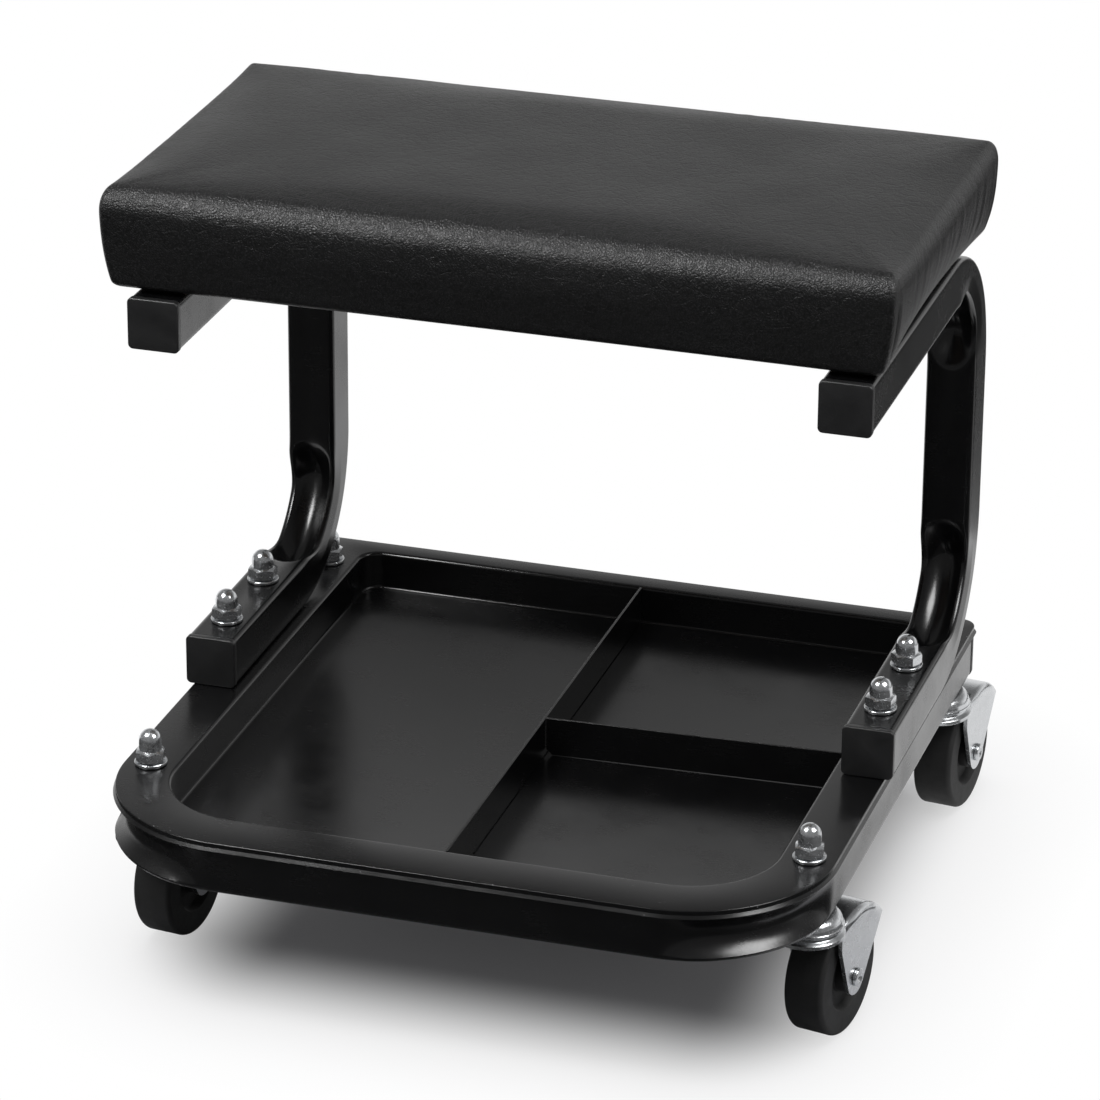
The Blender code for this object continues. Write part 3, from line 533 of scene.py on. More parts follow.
def tube_tree():
    """Square tube swept along a path; in each bend one face gives way to a hollow between two ridges.

    The path's points carry centre, inward (towards the bend's middle) and share (how far through the bend).
    """
    sizes = ("Side", "Corner", "Crush", "Hollow", "Pinch", "Arch", "Ramp", "Giving face")
    inputs = {**dict.fromkeys(sizes, "Float"), "Facets": "Int", "Finish": "Material"}
    tree, size = geometry_tree("bent_square_tube", inputs)
    side, corner = size["Side"], size["Corner"]
    path = add(tree, "GeometryNodeMeshToCurve", {"Mesh": size["Geometry"]})
    square = add(tree, "GeometryNodeCurvePrimitiveQuadrilateral", {"Width": side, "Height": side})
    bend = {"Curve": square, "Radius": corner, "Count": CORNER_FACETS}
    rounded = add(tree, "GeometryNodeFilletCurve", bend, mode="POLY")
    section = add(tree, "GeometryNodeResampleCurve", {"Curve": rounded, "Count": size["Facets"]})
    sweep = {"Curve": path, "Profile Curve": section, "Fill Caps": True}
    swept = add(tree, "GeometryNodeCurveToMesh", sweep)
    kept = "GeometryNodeInputNamedAttribute"
    centre = add(tree, kept, {"Name": "centre"}, data_type="FLOAT_VECTOR")
    inward = add(tree, kept, {"Name": "inward"}, data_type="FLOAT_VECTOR")
    share = add(tree, kept, {"Name": "share"}, data_type="FLOAT")
    spot = add(tree, "GeometryNodeInputPosition")

    # Place of a point in its section: depth towards the face that gives way, and the rest sideways
    giving = add(tree, VECTOR, {0: inward, "Scale": size["Giving face"]}, operation="SCALE")
    offset = add(tree, VECTOR, {0: spot, 1: centre}, operation="SUBTRACT")
    depth = add(tree, VECTOR, {0: offset, 1: giving}, operation="DOT_PRODUCT")
    deep = add(tree, VECTOR, {0: giving, "Scale": depth}, operation="SCALE")
    aside = add(tree, VECTOR, {0: offset, 1: deep}, operation="SUBTRACT")
    across = add(tree, VECTOR, {0: aside}, operation="LENGTH")
    half = add(tree, MATH, {0: side, 1: 0.5}, operation="MULTIPLY")
    flat = add(tree, MATH, {0: half, 1: corner}, operation="SUBTRACT")
    sideways = add(tree, MATH, {0: across, 1: half}, operation="DIVIDE")
    lift = add(tree, MATH, {0: depth, 1: half}, operation="DIVIDE", use_clamp=True)

    # How far the face has given way: nothing in the straights, with an arched start and end in the bend
    mirrored = add(tree, MATH, {0: 1.0, 1: share}, operation="SUBTRACT")
    edge = add(tree, MATH, {0: share, 1: mirrored}, operation="MINIMUM")
    squared = add(tree, MATH, {0: sideways, 1: 2.0}, operation="POWER")
    late = add(tree, MATH, {0: squared, 1: size["Arch"]}, operation="MULTIPLY")
    inside = add(tree, MATH, {0: edge, 1: late}, operation="SUBTRACT")
    ramp = {"Value": inside, "From Max": size["Ramp"]}
    squeeze = add(tree, RANGE, ramp, interpolation_type="SMOOTHSTEP")

    # The face pushed in as a whole, then hollowed along its middle
    wide = add(tree, MATH, {0: across, 1: flat}, operation="DIVIDE")
    wide = add(tree, MATH, {0: wide, 1: 2.0}, operation="POWER")
    bowl = add(tree, MATH, {0: 1.0, 1: wide}, operation="SUBTRACT", use_clamp=True)
    lifted = add(tree, MATH, {0: lift, 1: 4.0}, operation="POWER")
    bowl = add(tree, MATH, {0: bowl, 1: lifted}, operation="MULTIPLY")
    dip = add(tree, MATH, {0: bowl, 1: size["Hollow"]}, operation="MULTIPLY")
    far = add(tree, MATH, {0: depth, 1: half}, operation="ADD")
    pressed = add(tree, MATH, {0: size["Crush"], 1: side}, operation="DIVIDE")
    sink = add(tree, MATH, {0: far, 1: pressed, 2: dip}, operation="MULTIPLY_ADD")
    sink = add(tree, MATH, {0: sink, 1: squeeze}, operation="MULTIPLY")
    down = add(tree, MATH, {0: sink, 1: -1.0}, operation="MULTIPLY")
    move = add(tree, VECTOR, {0: giving, "Scale": down}, operation="SCALE")
    narrow = add(tree, MATH, {0: lift, 1: size["Pinch"]}, operation="MULTIPLY")
    narrow = add(tree, MATH, {0: narrow, 1: squeeze}, operation="MULTIPLY")
    narrow = add(tree, MATH, {0: narrow, 1: -1.0}, operation="MULTIPLY")
    drawn = add(tree, VECTOR, {0: aside, "Scale": narrow}, operation="SCALE")
    shift = add(tree, VECTOR, {0: move, 1: drawn}, operation="ADD")
    formed = add(tree, "GeometryNodeSetPosition", {"Geometry": swept, "Offset": shift})
    close_tree(tree, formed, size["Finish"])
    return tree


def fastener_tree():
    """Copies of one fastener on the host's points, each turned by a seeded chance about its own axis."""
    inputs = {"Fastener": "Object", "Turn": "Vector", "Seed": "Int", "Finish": "Material"}
    tree, size = geometry_tree("fasteners_on_points", inputs)
    shape = add(tree, "GeometryNodeObjectInfo", {"Object": size["Fastener"]}).outputs["Geometry"]
    chance = {"Max": size["Turn"], "Seed": size["Seed"]}
    turn = add(tree, "FunctionNodeRandomValue", chance, data_type="FLOAT_VECTOR")
    spread = {"Points": size["Geometry"], "Instance": shape, "Rotation": turn}
    copies = add(tree, "GeometryNodeInstanceOnPoints", spread)
    close_tree(tree, copies, size["Finish"])
    return tree


# Square tube frames


def bent_path(corners, radius, place):
    """Path mesh with rounded left-hand corners; place(u, v) puts the bend plane in space."""
    points = [Vector(corner) for corner in corners]
    stations = []
    for before, corner, after in zip(points, points[1:], points[2:]):
        come = (corner - before).normalized()
        go = (after - corner).normalized()
        heading = math.atan2(come.y, come.x)
        turn = come.angle(go)
        centre = corner - come * radius * math.tan(turn / 2) + Vector((-come.y, come.x)) * radius
        for step in range(BEND_STEPS + 1):
            angle = heading + turn * step / BEND_STEPS
            inward = Vector((-math.sin(angle), math.cos(angle)))
            stations.append((centre - inward * radius, inward, step / BEND_STEPS))
    stations.insert(0, (points[0], stations[0][1], 0.0))
    stations.append((points[-1], stations[-1][1], 0.0))
    spots = [place(*spot) for spot, _, _ in stations]
    origin = Vector(place(0.0, 0.0))
    data = bpy.data.meshes.new("path")
    data.from_pydata(spots, [(i, i + 1) for i in range(len(spots) - 1)], [])
    centres = data.attributes.new("centre", "FLOAT_VECTOR", "POINT")
    centres.data.foreach_set("vector", np.array(spots, np.float32).ravel())
    inwards = data.attributes.new("inward", "FLOAT_VECTOR", "POINT")
    turned = [Vector(place(*inward)) - origin for _, inward, _ in stations]
    inwards.data.foreach_set("vector", np.array(turned, np.float32).ravel())
    shares = data.attributes.new("share", "FLOAT", "POINT")
    shares.data.foreach_set("value", np.array([share for _, _, share in stations], np.float32))
    return data


def make_frames(finishes):
    """The two C-shaped seat frames and the U-shaped base, each one bent tube."""
    tree = tube_tree()
    half = TUBE / 2
    common = {
        "Side": TUBE,
        "Corner": TUBE_CORNER,
        "Facets": TUBE_FACETS,
        "Ramp": CRUSH_RAMP,
        "Finish": finishes["black_powder_coat"],
    }

    def bend(name, node, path, shape):
        data = grow(tree, path, {**common, **shape})
        shade(data, 40.0)
        add_piece(name, data, "stool", "black_powder_coat", node)

    for side in SIDES:
        low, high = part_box(f"{side}_seat_frame")
        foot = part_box(f"{side}_foot_cap")[0].y + low.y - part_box(f"{side}_top_tube_cap")[0].y
        x = (low.x + high.x) / 2
        corners = [
            (foot, low.z + half),
            (high.y - half, low.z + half),
            (high.y - half, high.z - half),
            (low.y, high.z - half),
        ]
        path = bent_path(corners, FRAME_BEND_RADIUS, lambda y, z: (x, y, z))
        bend(f"{side}_frame_tube", f"{side}_seat_frame", path, FRAME_BEND)
    low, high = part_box("base_frame")
    level = (low.z + high.z) / 2
    corners = [
        (low.x + half, high.y),
        (low.x + half, low.y + half),
        (high.x - half, low.y + half),
        (high.x - half, high.y),
    ]
    path = bent_path(corners, BASE_BEND_RADIUS, lambda x, y: (x, y, level))
    bend("base_tube", "base_frame", path, BASE_BEND)


# Tray


def rounded_outline(low, high, front_radius, rear_radius):
    """Plan of a rectangle, from low to high, whose front and rear corners each have their own radius."""
    corners = [
        (high.x - rear_radius, high.y - rear_radius, rear_radius, 0.0),
        (low.x + rear_radius, high.y - rear_radius, rear_radius, 90.0),
        (low.x + front_radius, low.y + front_radius, front_radius, 180.0),
        (high.x - front_radius, low.y + front_radius, front_radius, 270.0),
    ]
    points = []
    for x, y, radius, start in corners:
        points += arc((x, y), radius, start, start + 90.0, BEND_STEPS)
    return points


def make_tray(finish):
    """Pressed pan: floor, wall, rolled edge, flat rim and turned-down lip, then the same on the underside."""
    low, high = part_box("tool_tray")
    gap = SEAT_GAP + SHEET
    rim = high.z
    roll = TUBE_CORNER + gap
    corner = BASE_BEND_RADIUS + TUBE / 2 + gap
    pan_low = Vector((low.x + 2 * gap + TUBE, low.y + 2 * gap + TUBE))
    pan_high = Vector((high.x - 2 * gap - TUBE, high.y - REAR_RIM))
    pan_corner = BASE_BEND_RADIUS - TUBE / 2 - gap
    floor = rim - PAN_DEPTH
    step = Vector((1.0, 1.0))

    def rim_loop(inset, height):
        rear = max(REAR_CORNER - inset, SHEET)
        outline = rounded_outline(low.xy + step * inset, high.xy - step * inset, corner - inset, rear)
        return [(x, y, height) for x, y in outline]

    def pan_loop(outset, height):
        start, end = pan_low - step * outset, pan_high + step * outset
        outline = rounded_outline(start, end, pan_corner + outset, PAN_REAR_CORNER + outset)
        return [(x, y, height) for x, y in outline]

    def turn(loop, centre, radius, start, end, worn=0.0, shift=0.0):
        quarter = arc(centre, radius, start, end, QUARTER_STEPS)
        return [(loop, shift + u, v, worn) for u, v in quarter]

    foot = (-PAN_FLOOR_RADIUS, floor + PAN_FLOOR_RADIUS)
    bend = (roll, rim - roll)
    lip = rim - roll - LIP_STRAIGHT
    profile = turn(pan_loop, foot, PAN_FLOOR_RADIUS, 270.0, 360.0)
    profile += turn(pan_loop, (PAN_ROLL, rim - PAN_ROLL), PAN_ROLL, 180.0, 90.0, worn=0.3)
    profile += turn(rim_loop, (LIP_ROLL, rim - LIP_ROLL), LIP_ROLL, 90.0, 180.0, worn=1.0, shift=LIP_BEAD)
    profile += [
        (rim_loop, LIP_BEAD, lip + 1.8 * LIP_BEAD, 1.0),
        (rim_loop, 0.0, lip + 0.5 * LIP_BEAD, 1.0),
        (rim_loop, SHEET_EDGE, lip, 1.0),
        (rim_loop, SHEET - SHEET_EDGE, lip, 0.0),
        (rim_loop, SHEET, lip + SHEET_EDGE, 0.0),
    ]
    profile += turn(rim_loop, bend, roll - SHEET, 180.0, 90.0)
    profile += turn(pan_loop, bend, roll - SHEET, 90.0, 180.0)
    profile += turn(pan_loop, foot, PAN_FLOOR_RADIUS + SHEET, 360.0, 270.0)
    loops = [loop(inset, height) for loop, inset, height, _ in profile]
    data = to_data(skin(loops), "tray", finish, sharp=35.0)
    mark_wear(data, np.repeat([worn for _, _, _, worn in profile], len(loops[0])))
    add_piece("pressed_tray", data, "stool", "black_powder_coat", "tool_tray")


def mark_wear(data, values):
    """Stores how much the coat of each point is knocked about."""
    marks = data.attributes.new("edge_wear", "FLOAT", "POINT")
    marks.data.foreach_set("value", np.asarray(values, np.float32))


def softened(data, width, segments=2, angle=30.0):
    """Mesh data with its sharp edges rounded."""
    holder = hold(data)
    bevel = holder.modifiers.new("edge", "BEVEL")
    bevel.width = width
    bevel.segments = segments
    bevel.limit_method = "ANGLE"
    bevel.angle_limit = math.radians(angle)
    weighted = holder.modifiers.new("flat_faces", "WEIGHTED_NORMAL")
    weighted.keep_sharp = True
    return evaluated(holder)


def welded_copy(node):
    """Copy of a CAD node's mesh with its loose triangles joined and flat faces made whole again."""
    mesh = bmesh.new()
    mesh.from_mesh(frame["nodes"][node].data)
    bmesh.ops.remove_doubles(mesh, verts=mesh.verts, dist=WELD)
    bmesh.ops.dissolve_limit(mesh, angle_limit=math.radians(1.0), verts=mesh.verts, edges=mesh.edges)
    return mesh


def make_dividers(finish):
    """The two strips in the tray, with the sheared edge of the sheet rounded by its coat."""
    for node in ("long_divider", "cross_divider"):
        data = to_data(welded_copy(node), node, finish)
        data = softened(data, SHEET_EDGE)
        heights = np.array([vertex.co.z for vertex in data.vertices])
        mark_wear(data, np.where(heights > heights.max() - 2 * SHEET_EDGE, 1.0, 0.0))
        add_piece(f"tray_{node}", data, "stool", "black_powder_coat", node)


# End caps


def square_loop(inset, depth):
    """Rounded square of the tube's outline, drawn in by inset."""
    radius = max(TUBE_CORNER - inset, TUBE_CORNER / 3)
    flat = TUBE / 2 + CAP_PROUD - inset - radius
    points = []
    for start, x, z in ((0.0, 1, 1), (90.0, -1, 1), (180.0, -1, -1), (270.0, 1, -1)):
        corner = arc((x * flat, z * flat), radius, start, start + 90.0, QUARTER_STEPS)
        points += [(u, depth, v) for u, v in corner]
    return points


def make_end_caps(finish):
    """Plugs in the tube ends: a flange as wide as the tube with rolled edges and a slightly full face."""
    profile = [
        (0.85 * TUBE / 2, -CAP_CROWN),
        (0.5 * TUBE / 2, -0.8 * CAP_CROWN),
        (2.2 * CAP_EDGE, -0.2 * CAP_CROWN),
    ]
    profile += arc((CAP_EDGE, CAP_EDGE), CAP_EDGE, 270.0, 180.0, QUARTER_STEPS)
    profile += [
        (0.0, CAP_FLANGE - CAP_SEAM),
        (0.4 * CAP_SEAM, CAP_FLANGE - 0.4 * CAP_SEAM),
        (2 * CAP_SEAM, CAP_FLANGE),
    ]
    for side in SIDES:
        for place, facing in (("foot", -1), ("top_tube", -1), ("base", 1)):
            node = f"{side}_{place}_cap"
            low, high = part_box(node)
            face = low.y if facing < 0 else high.y
            across, level = (low.x + high.x) / 2, (low.z + high.z) / 2
            loops = []
            for inset, depth in profile:
                loop = square_loop(inset, -facing * depth)
                loops.append([(across + x, face + y, level + z) for x, y, z in loop])
            data = to_data(skin(loops), node, finish, sharp=50.0)
            add_piece(f"{side}_{place}_plug", data, "stool", "black_cap_plastic", node)


# Fasteners


def hexagon_loop(flats, level):
    """Hexagon of a width across flats; level gives a point's height from its distance to the axis."""
    loop = []
    for i in range(NUT_SIDES):
        turn = 2 * math.pi * i / NUT_SIDES
        radius = flats / 2 / math.cos((turn + math.pi / 6) % (math.pi / 3) - math.pi / 6)
        loop.append((radius * math.cos(turn), radius * math.sin(turn), level(radius)))
    return loop


def cap_nut(extra):
    """Acorn nut on its seat: hexagon with a turned chamfer, neck and tall dome, extra metres higher."""
    low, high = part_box("front_right_caster_cap_nut")
    bearing = BEARING_SHARE * NUT_FLATS / 2
    dome = NUT_DOME_RADIUS
    spring = high.z - low.z + extra - dome * 0.97
    loops = [
        upright_loop(THREAD_RADIUS, 0.0, NUT_SIDES),
        upright_loop(bearing, 0.0, NUT_SIDES),
        hexagon_loop(NUT_FLATS, lambda radius: max(0.0, radius - bearing) * CHAMFER_SLOPE),
        hexagon_loop(NUT_FLATS, lambda radius: NUT_HEX_HEIGHT - max(0.0, radius - bearing) * CHAMFER_SLOPE),
        upright_loop(bearing, NUT_HEX_HEIGHT, NUT_SIDES),
        upright_loop(dome + NUT_CHAMFER, NUT_HEX_HEIGHT + 0.2 * NUT_CHAMFER, NUT_SIDES),
        upright_loop(dome, NUT_HEX_HEIGHT + NUT_CHAMFER, NUT_SIDES),
        upright_loop(dome * 0.985, spring, NUT_SIDES),
    ]
    for u, v in arc((0.0, spring), dome * 0.97, 6.0, 86.0, 14):
        loops.append(upright_loop(u, v, NUT_SIDES))
    return to_data(skin(loops), "cap_nut", None, sharp=28.0)


def spring_washer():
    """Split washer: a rounded flat ring, cut through, whose two ends stand a little apart."""
    edge = 0.25 * WASHER_THICKNESS
    top = WASHER_THICKNESS - edge
    inner, outer = WASHER_BORE + edge, WASHER_RADIUS - edge
    section = []
    for u, v, start in ((outer, top, 0.0), (inner, top, 90.0), (inner, edge, 180.0), (outer, edge, 270.0)):
        section += arc((u, v), edge, start, start + 90.0, 4)
    loops = []
    for step in range(ROUND_SIDES + 1):
        share = step / ROUND_SIDES
        turn = WASHER_TURN + WASHER_SPLIT / 2 + (2 * math.pi - WASHER_SPLIT) * share
        rise = WASHER_SPRING * (2 * share - 1.0)
        loops.append([(u * math.cos(turn), u * math.sin(turn), v + rise) for u, v in section])
    return to_data(skin(loops), "spring_washer", None, sharp=40.0)


def hexagon_bolt():
    """Head of a hexagon bolt under the base frame, with a turned chamfer, and its shank in the tube."""
    low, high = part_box("left_front_foot_bolt")
    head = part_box("base_frame")[0].z - SEAT_GAP - low.z
    foot = head - BOLT_HEAD
    bearing = BEARING_SHARE * BOLT_FLATS / 2
    loops = [
        upright_loop(0.8 * bearing, foot, NUT_SIDES),
        upright_loop(bearing, foot, NUT_SIDES),
        hexagon_loop(BOLT_FLATS, lambda radius: foot + max(0.0, radius - bearing) * CHAMFER_SLOPE),
        hexagon_loop(BOLT_FLATS, lambda radius: head),
        upright_loop(THREAD_RADIUS, head, NUT_SIDES),
        upright_loop(THREAD_RADIUS, high.z - low.z, NUT_SIDES),
    ]
    return to_data(skin(loops), "hexagon_bolt", None, sharp=28.0)


def pan_screw():
    """Pan-head wood screw with a cross recess suggested by a dimple."""
    low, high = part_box("left_front_seat_screw")
    radius = (high.x - low.x) / 2
    profile = [(0.16 * radius, 0.5 * SCREW_HEAD), (0.30 * radius, 0.12 * SCREW_HEAD)]
    for u, v in arc((radius - SCREW_HEAD, SCREW_HEAD), SCREW_HEAD, 262.0, 360.0, 10):
        profile.append((u, max(v, 0.0)))
    profile += [(SCREW_SHANK, SCREW_HEAD), (SCREW_SHANK, high.z - low.z)]
    loops = [upright_loop(spread, height, SCREW_SIDES) for spread, height in profile]
    return to_data(skin(loops), "pan_screw", None, sharp=40.0)


def make_fasteners(finishes):
    """Nuts, washers, bolts and screws: one shape each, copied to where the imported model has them."""
    tree = fastener_tree()
    ends = [f"{side}_{end}_foot" for side in SIDES for end in ENDS]
    casters = [f"{place}_caster" for place in CASTERS]
    seats = [f"{side}_{end}_seat" for side in SIDES for end in ENDS]
    # Name, shape, nodes, largest turn about the axis and seed of the turns
    kinds = [
        ("foot_cap_nuts", cap_nut(0.0), [f"{stem}_cap_nut" for stem in ends], math.pi / 3, 5),
        ("stem_cap_nuts", cap_nut(STEM_NUT_EXTRA), [f"{stem}_cap_nut" for stem in casters], math.pi / 3, 7),
        ("spring_washers", spring_washer(), [f"{stem}_washer" for stem in ends + casters], 2.2, 11),
        ("foot_bolts", hexagon_bolt(), [f"{stem}_bolt" for stem in ends], math.pi / 3, 3),
        ("seat_screws", pan_screw(), [f"{stem}_screw" for stem in seats], math.pi / 2, 8),
    ]
    for name, shape, nodes, turn, seed in kinds:
        pattern = hold(shape)
        host = bpy.data.meshes.new("points")
        spots = []
        for node in nodes:
            low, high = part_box(node)
            spots.append(((low.x + high.x) / 2, (low.y + high.y) / 2, low.z))
        host.from_pydata(spots, [], [])
        values = {"Fastener": pattern, "Turn": (0.0, 0.0, turn), "Seed": seed}
        data = grow(tree, host, {**values, "Finish": finishes["bright_zinc"]})
        bpy.data.objects.remove(pattern)
        add_piece(name, data, "stool", "bright_zinc", *nodes)


# Casters


def caster_frame(place):
    """Matrix, trail and axle height of a caster, from its two joints.

    The matrix has X along the axle, Y the way the caster trails and its origin on the floor under the pin.
    """
    joints = {joint["name"]: joint for joint in frame["joints"]}
    pin = Vector(joints[f"{place}_swivel"]["pos_m"])
    hub = Vector(joints[f"{place}_roll"]["pos_m"])
    axle = Vector(joints[f"{place}_roll"]["axis"]).normalized()
    trail = Vector((-axle.y, axle.x, 0.0))
    matrix = Matrix((axle, trail, Vector((0.0, 0.0, 1.0)))).transposed().to_4x4()
    matrix.translation = (pin.x, pin.y, 0.0)
    return matrix, (hub.xy - pin.xy).length, hub.z


def fork_outline(radius, outer):
    """Side view of the fork round its axle: saddle of that radius, leg tapered for the outer, rounded end."""
    front = Vector((-FORK_FRONT_REACH, FORK_FRONT_DROP))
    end = FORK_LEG_END_RADIUS
    saddle = math.degrees(math.acos(-FORK_FRONT_REACH / radius))
    rear_tangent = math.degrees(FORK_REAR_ANGLE - math.acos(end / outer))
    rear = rear_tangent + math.degrees(math.acos(end / radius))
    points = arc((0.0, 0.0), radius, saddle, rear, FORK_STEPS)
    front_tangent = math.degrees(math.atan2(front.y, front.x) + math.acos(end / front.length)) - 360.0
    points += arc((0.0, 0.0), end, rear_tangent, front_tangent, FORK_STEPS)
    points.append(tuple(front))
    return points


def fork_outside(outer, half_width):
    """Outlines of the fork's outside, at stations from one leg over the saddle to the other."""
    spring = outer - FORK_SHOULDER
    quarter = [(half_width + share * FORK_JOGGLE, spring - drop) for share, drop in FORK_JOGGLE_RUN]
    centre = half_width + FORK_JOGGLE - FORK_SHOULDER
    quarter += arc((centre, spring), FORK_SHOULDER, -6.0, 90.0, 2 * QUARTER_STEPS)
    half = []
    for row, (across, radius) in enumerate(quarter):
        leg = half_width - row * FORK_SET_IN
        step = max(0.0, across - half_width)
        loop = []
        for i, (y, z) in enumerate(fork_outline(radius, outer)):
            fade = min(1.0, min(i, FORK_STEPS - i) / FORK_RUN_OUT)
            loop.append((across - step * (1.0 - fade) if i <= FORK_STEPS else leg, y, z))
        half.append(loop)
    return mirrored_loops(half)


def fork_inside(outer, half_width, wheel_radius):
    """Outlines of the space between the legs, down past the wheel, at stations across it."""
    inside = outer - FORK_SHEET
    shoulder = FORK_SHOULDER - FORK_SHEET
    centre = (half_width - FORK_SHEET - shoulder, inside - shoulder)
    half = []
    for across, radius in arc(centre, shoulder, 0.0, 90.0, QUARTER_STEPS):
        bow = arc((0.0, 0.0), radius, 180.0, 0.0, 2 * FORK_STEPS)
        outline = [(inside, -2 * wheel_radius), (-inside, -2 * wheel_radius)] + bow
        half.append([(across, y, z) for y, z in outline])
    return mirrored_loops(half)


def mirrored_loops(half):
    """Loops on the left, from the outside in, then the same on the right from the inside out."""
    return [[(-x, y, z) for x, y, z in loop] for loop in half] + half[::-1]


def stamped_fork(finish, trail, axle_height, half_width):
    """Fork of one stamping, in the caster's frame: legs, rounded shoulders, saddle and turned crown."""
    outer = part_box("front_left_caster_fork")[1].z - axle_height

    def placed(loops):
        return skin([[(x, trail + y, axle_height + z) for x, y, z in loop] for loop in loops])

    solid = hold(to_data(placed(fork_outside(outer, half_width)), "fork", finish))
    top = axle_height + outer
    bottom = top - CROWN_THICKNESS
    ledge = bottom + CROWN_THICKNESS / 2
    edge = CROWN_STEP / 4
    neck = CROWN_RADIUS - CROWN_STEP
    profile = [
        (CROWN_RADIUS - edge, bottom),
        (CROWN_RADIUS, bottom + edge),
        (CROWN_RADIUS, ledge - edge),
        (CROWN_RADIUS - edge, ledge),
        (neck + edge, ledge + edge),
        (neck, ledge + 2 * edge),
        (neck, top - edge),
        (neck - edge, top),
    ]
    crown = skin([upright_loop(radius, height) for radius, height in profile])
    hollow = placed(fork_inside(outer, half_width, axle_height))
    cutters = []
    for mesh, operation in ((hollow, "DIFFERENCE"), (crown, "UNION")):
        cutter = hold(to_data(mesh, "cutter", finish), "cutter")
        boolean = solid.modifiers.new("cut", "BOOLEAN")
        boolean.operation = operation
        boolean.object = cutter
        cutters.append(cutter)
    data = evaluated(solid)
    for cutter in cutters:
        bpy.data.objects.remove(cutter)
    return data


def turned(profile, loop, finish, name, ring=False, sharp=32.0):
    """Mesh turned from a profile of (radius, station) points."""
    return to_data(skin([loop(radius, station) for radius, station in profile], ring), name, finish, sharp)


def both_sides(profile):
    """Profile of one half, then its mirror image."""
    return profile + [(spread, -across) for spread, across in reversed(profile)]


def caster_race(finish, low, high, top):
    """Fixed race and its stem: a domed cup under the tube over a rolled skirt, and the pin's head below."""
    radius = (high.x - low.x) / 2
    fork_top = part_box("front_left_caster_fork")[1].z
    bottom = fork_top + SEAT_GAP
    tall = top - bottom
    profile = [(0.0055, low.z), (0.0075, low.z + 0.0006), (0.008, low.z + 0.0014), (0.008, low.z + 0.0024)]
    profile += [(THREAD_RADIUS, low.z + 0.0025), (THREAD_RADIUS, bottom), (radius - 0.0004, bottom)]
    profile += [(radius, bottom + 0.0003), (radius, bottom + 0.0011), (radius - 0.0004, bottom + 0.0014)]
    for u, v in arc((0.0, 0.0), 1.0, 8.0, 82.0, 16):
        spread = RACE_NECK_RADIUS + (radius - 0.0006 - RACE_NECK_RADIUS) * u
        profile.append((spread, bottom + 0.0015 + (tall - 0.0015) * v))
    profile += [(RACE_NECK_RADIUS, top), (THREAD_RADIUS, top), (THREAD_RADIUS, high.z)]
    return turned(profile, upright_loop, finish, "race")


def moulded_wheel(finish, radius):
    """Tyre and wheel in one moulding: rounded shoulders, flat walls, a dished recess and a hub."""
    recess = WHEEL_RECESS_RADIUS
    half = WHEEL_HALF
    floor = half - WHEEL_RECESS_DEPTH
    hub_half = half + HUB_PROUD
    profile = [
        (BUSH_RADIUS + SEAT_GAP, hub_half),
        (HUB_RADIUS - 0.0005, hub_half),
        (HUB_RADIUS, hub_half - 0.0005),
        (HUB_RADIUS, floor + 0.0008),
        (HUB_RADIUS + 0.0008, floor),
        (recess - 0.002, floor),
        (recess - 0.001, floor + 0.001),
        (recess - 0.0003, half - 0.0006),
        (recess + 0.0003, half),
        (radius - WHEEL_EDGE - 0.0006, half),
    ]
    profile += arc((radius - WHEEL_EDGE, half - WHEEL_EDGE), WHEEL_EDGE, 90.0, 0.0, 8)
    profile += [(radius - 0.00004, 0.0008), (radius, 0.0003)]
    return turned(both_sides(profile), axle_loop, finish, "wheel", ring=True)


def axle_rivet(finish, half_width):
    """Rivet whose two heads are spread by a punch, which leaves a dimple in each."""
    face = half_width + SEAT_GAP
    crest = face + RIVET_HEAD
    profile = [
        (0.0004, crest - 0.0012),
        (0.6 * RIVET_DIMPLE, crest - 0.0011),
        (RIVET_DIMPLE, crest - 0.0003),
        (RIVET_DIMPLE + 0.0004, crest),
        (RIVET_RADIUS - 0.0012, crest),
    ]
    profile += arc((RIVET_RADIUS - RIVET_EDGE, crest - RIVET_EDGE), RIVET_EDGE, 80.0, 0.0, 6)
    profile += [(RIVET_RADIUS, face), (RIVET_SHANK, face)]
    return turned(both_sides(profile), axle_loop, finish, "rivet", sharp=40.0)


def make_casters(finishes):
    """Four swivel casters: race on the stool, fork and rivet on the swivel, wheel on its axle."""
    base_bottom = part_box("base_frame")[0].z
    half_width = WHEEL_HALF + WHEEL_GAP + FORK_SHEET
    for place in CASTERS:
        matrix, trail, axle_height = caster_frame(place)
        axle = matrix @ Matrix.Translation((0.0, trail, axle_height))
        low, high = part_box(f"{place}_caster_stem")
        race = caster_race(finishes["bright_zinc"], low, high, base_bottom - SEAT_GAP)
        race.transform(Matrix.Translation((matrix.translation.x, matrix.translation.y, 0.0)))
        add_piece(f"{place}_race", race, "stool", "bright_zinc", f"{place}_caster_stem")
        fork = stamped_fork(finishes["dull_zinc"], trail, axle_height, half_width)
        fork = softened(fork, FORK_EDGE, angle=40.0)
        fork.transform(matrix)
        add_piece(f"{place}_stamped_fork", fork, f"{place}_fork", "dull_zinc", f"{place}_caster_fork")
        rivet = axle_rivet(finishes["dull_zinc"], half_width)
        rivet.transform(axle)
        add_piece(f"{place}_rivet", rivet, f"{place}_fork", "dull_zinc", f"{place}_axle")
        wheel = moulded_wheel(finishes["black_wheel_rubber"], axle_height)
        wheel.transform(axle)
        add_piece(f"{place}_tyre", wheel, f"{place}_roller", "black_wheel_rubber", f"{place}_wheel")


# Padded seat


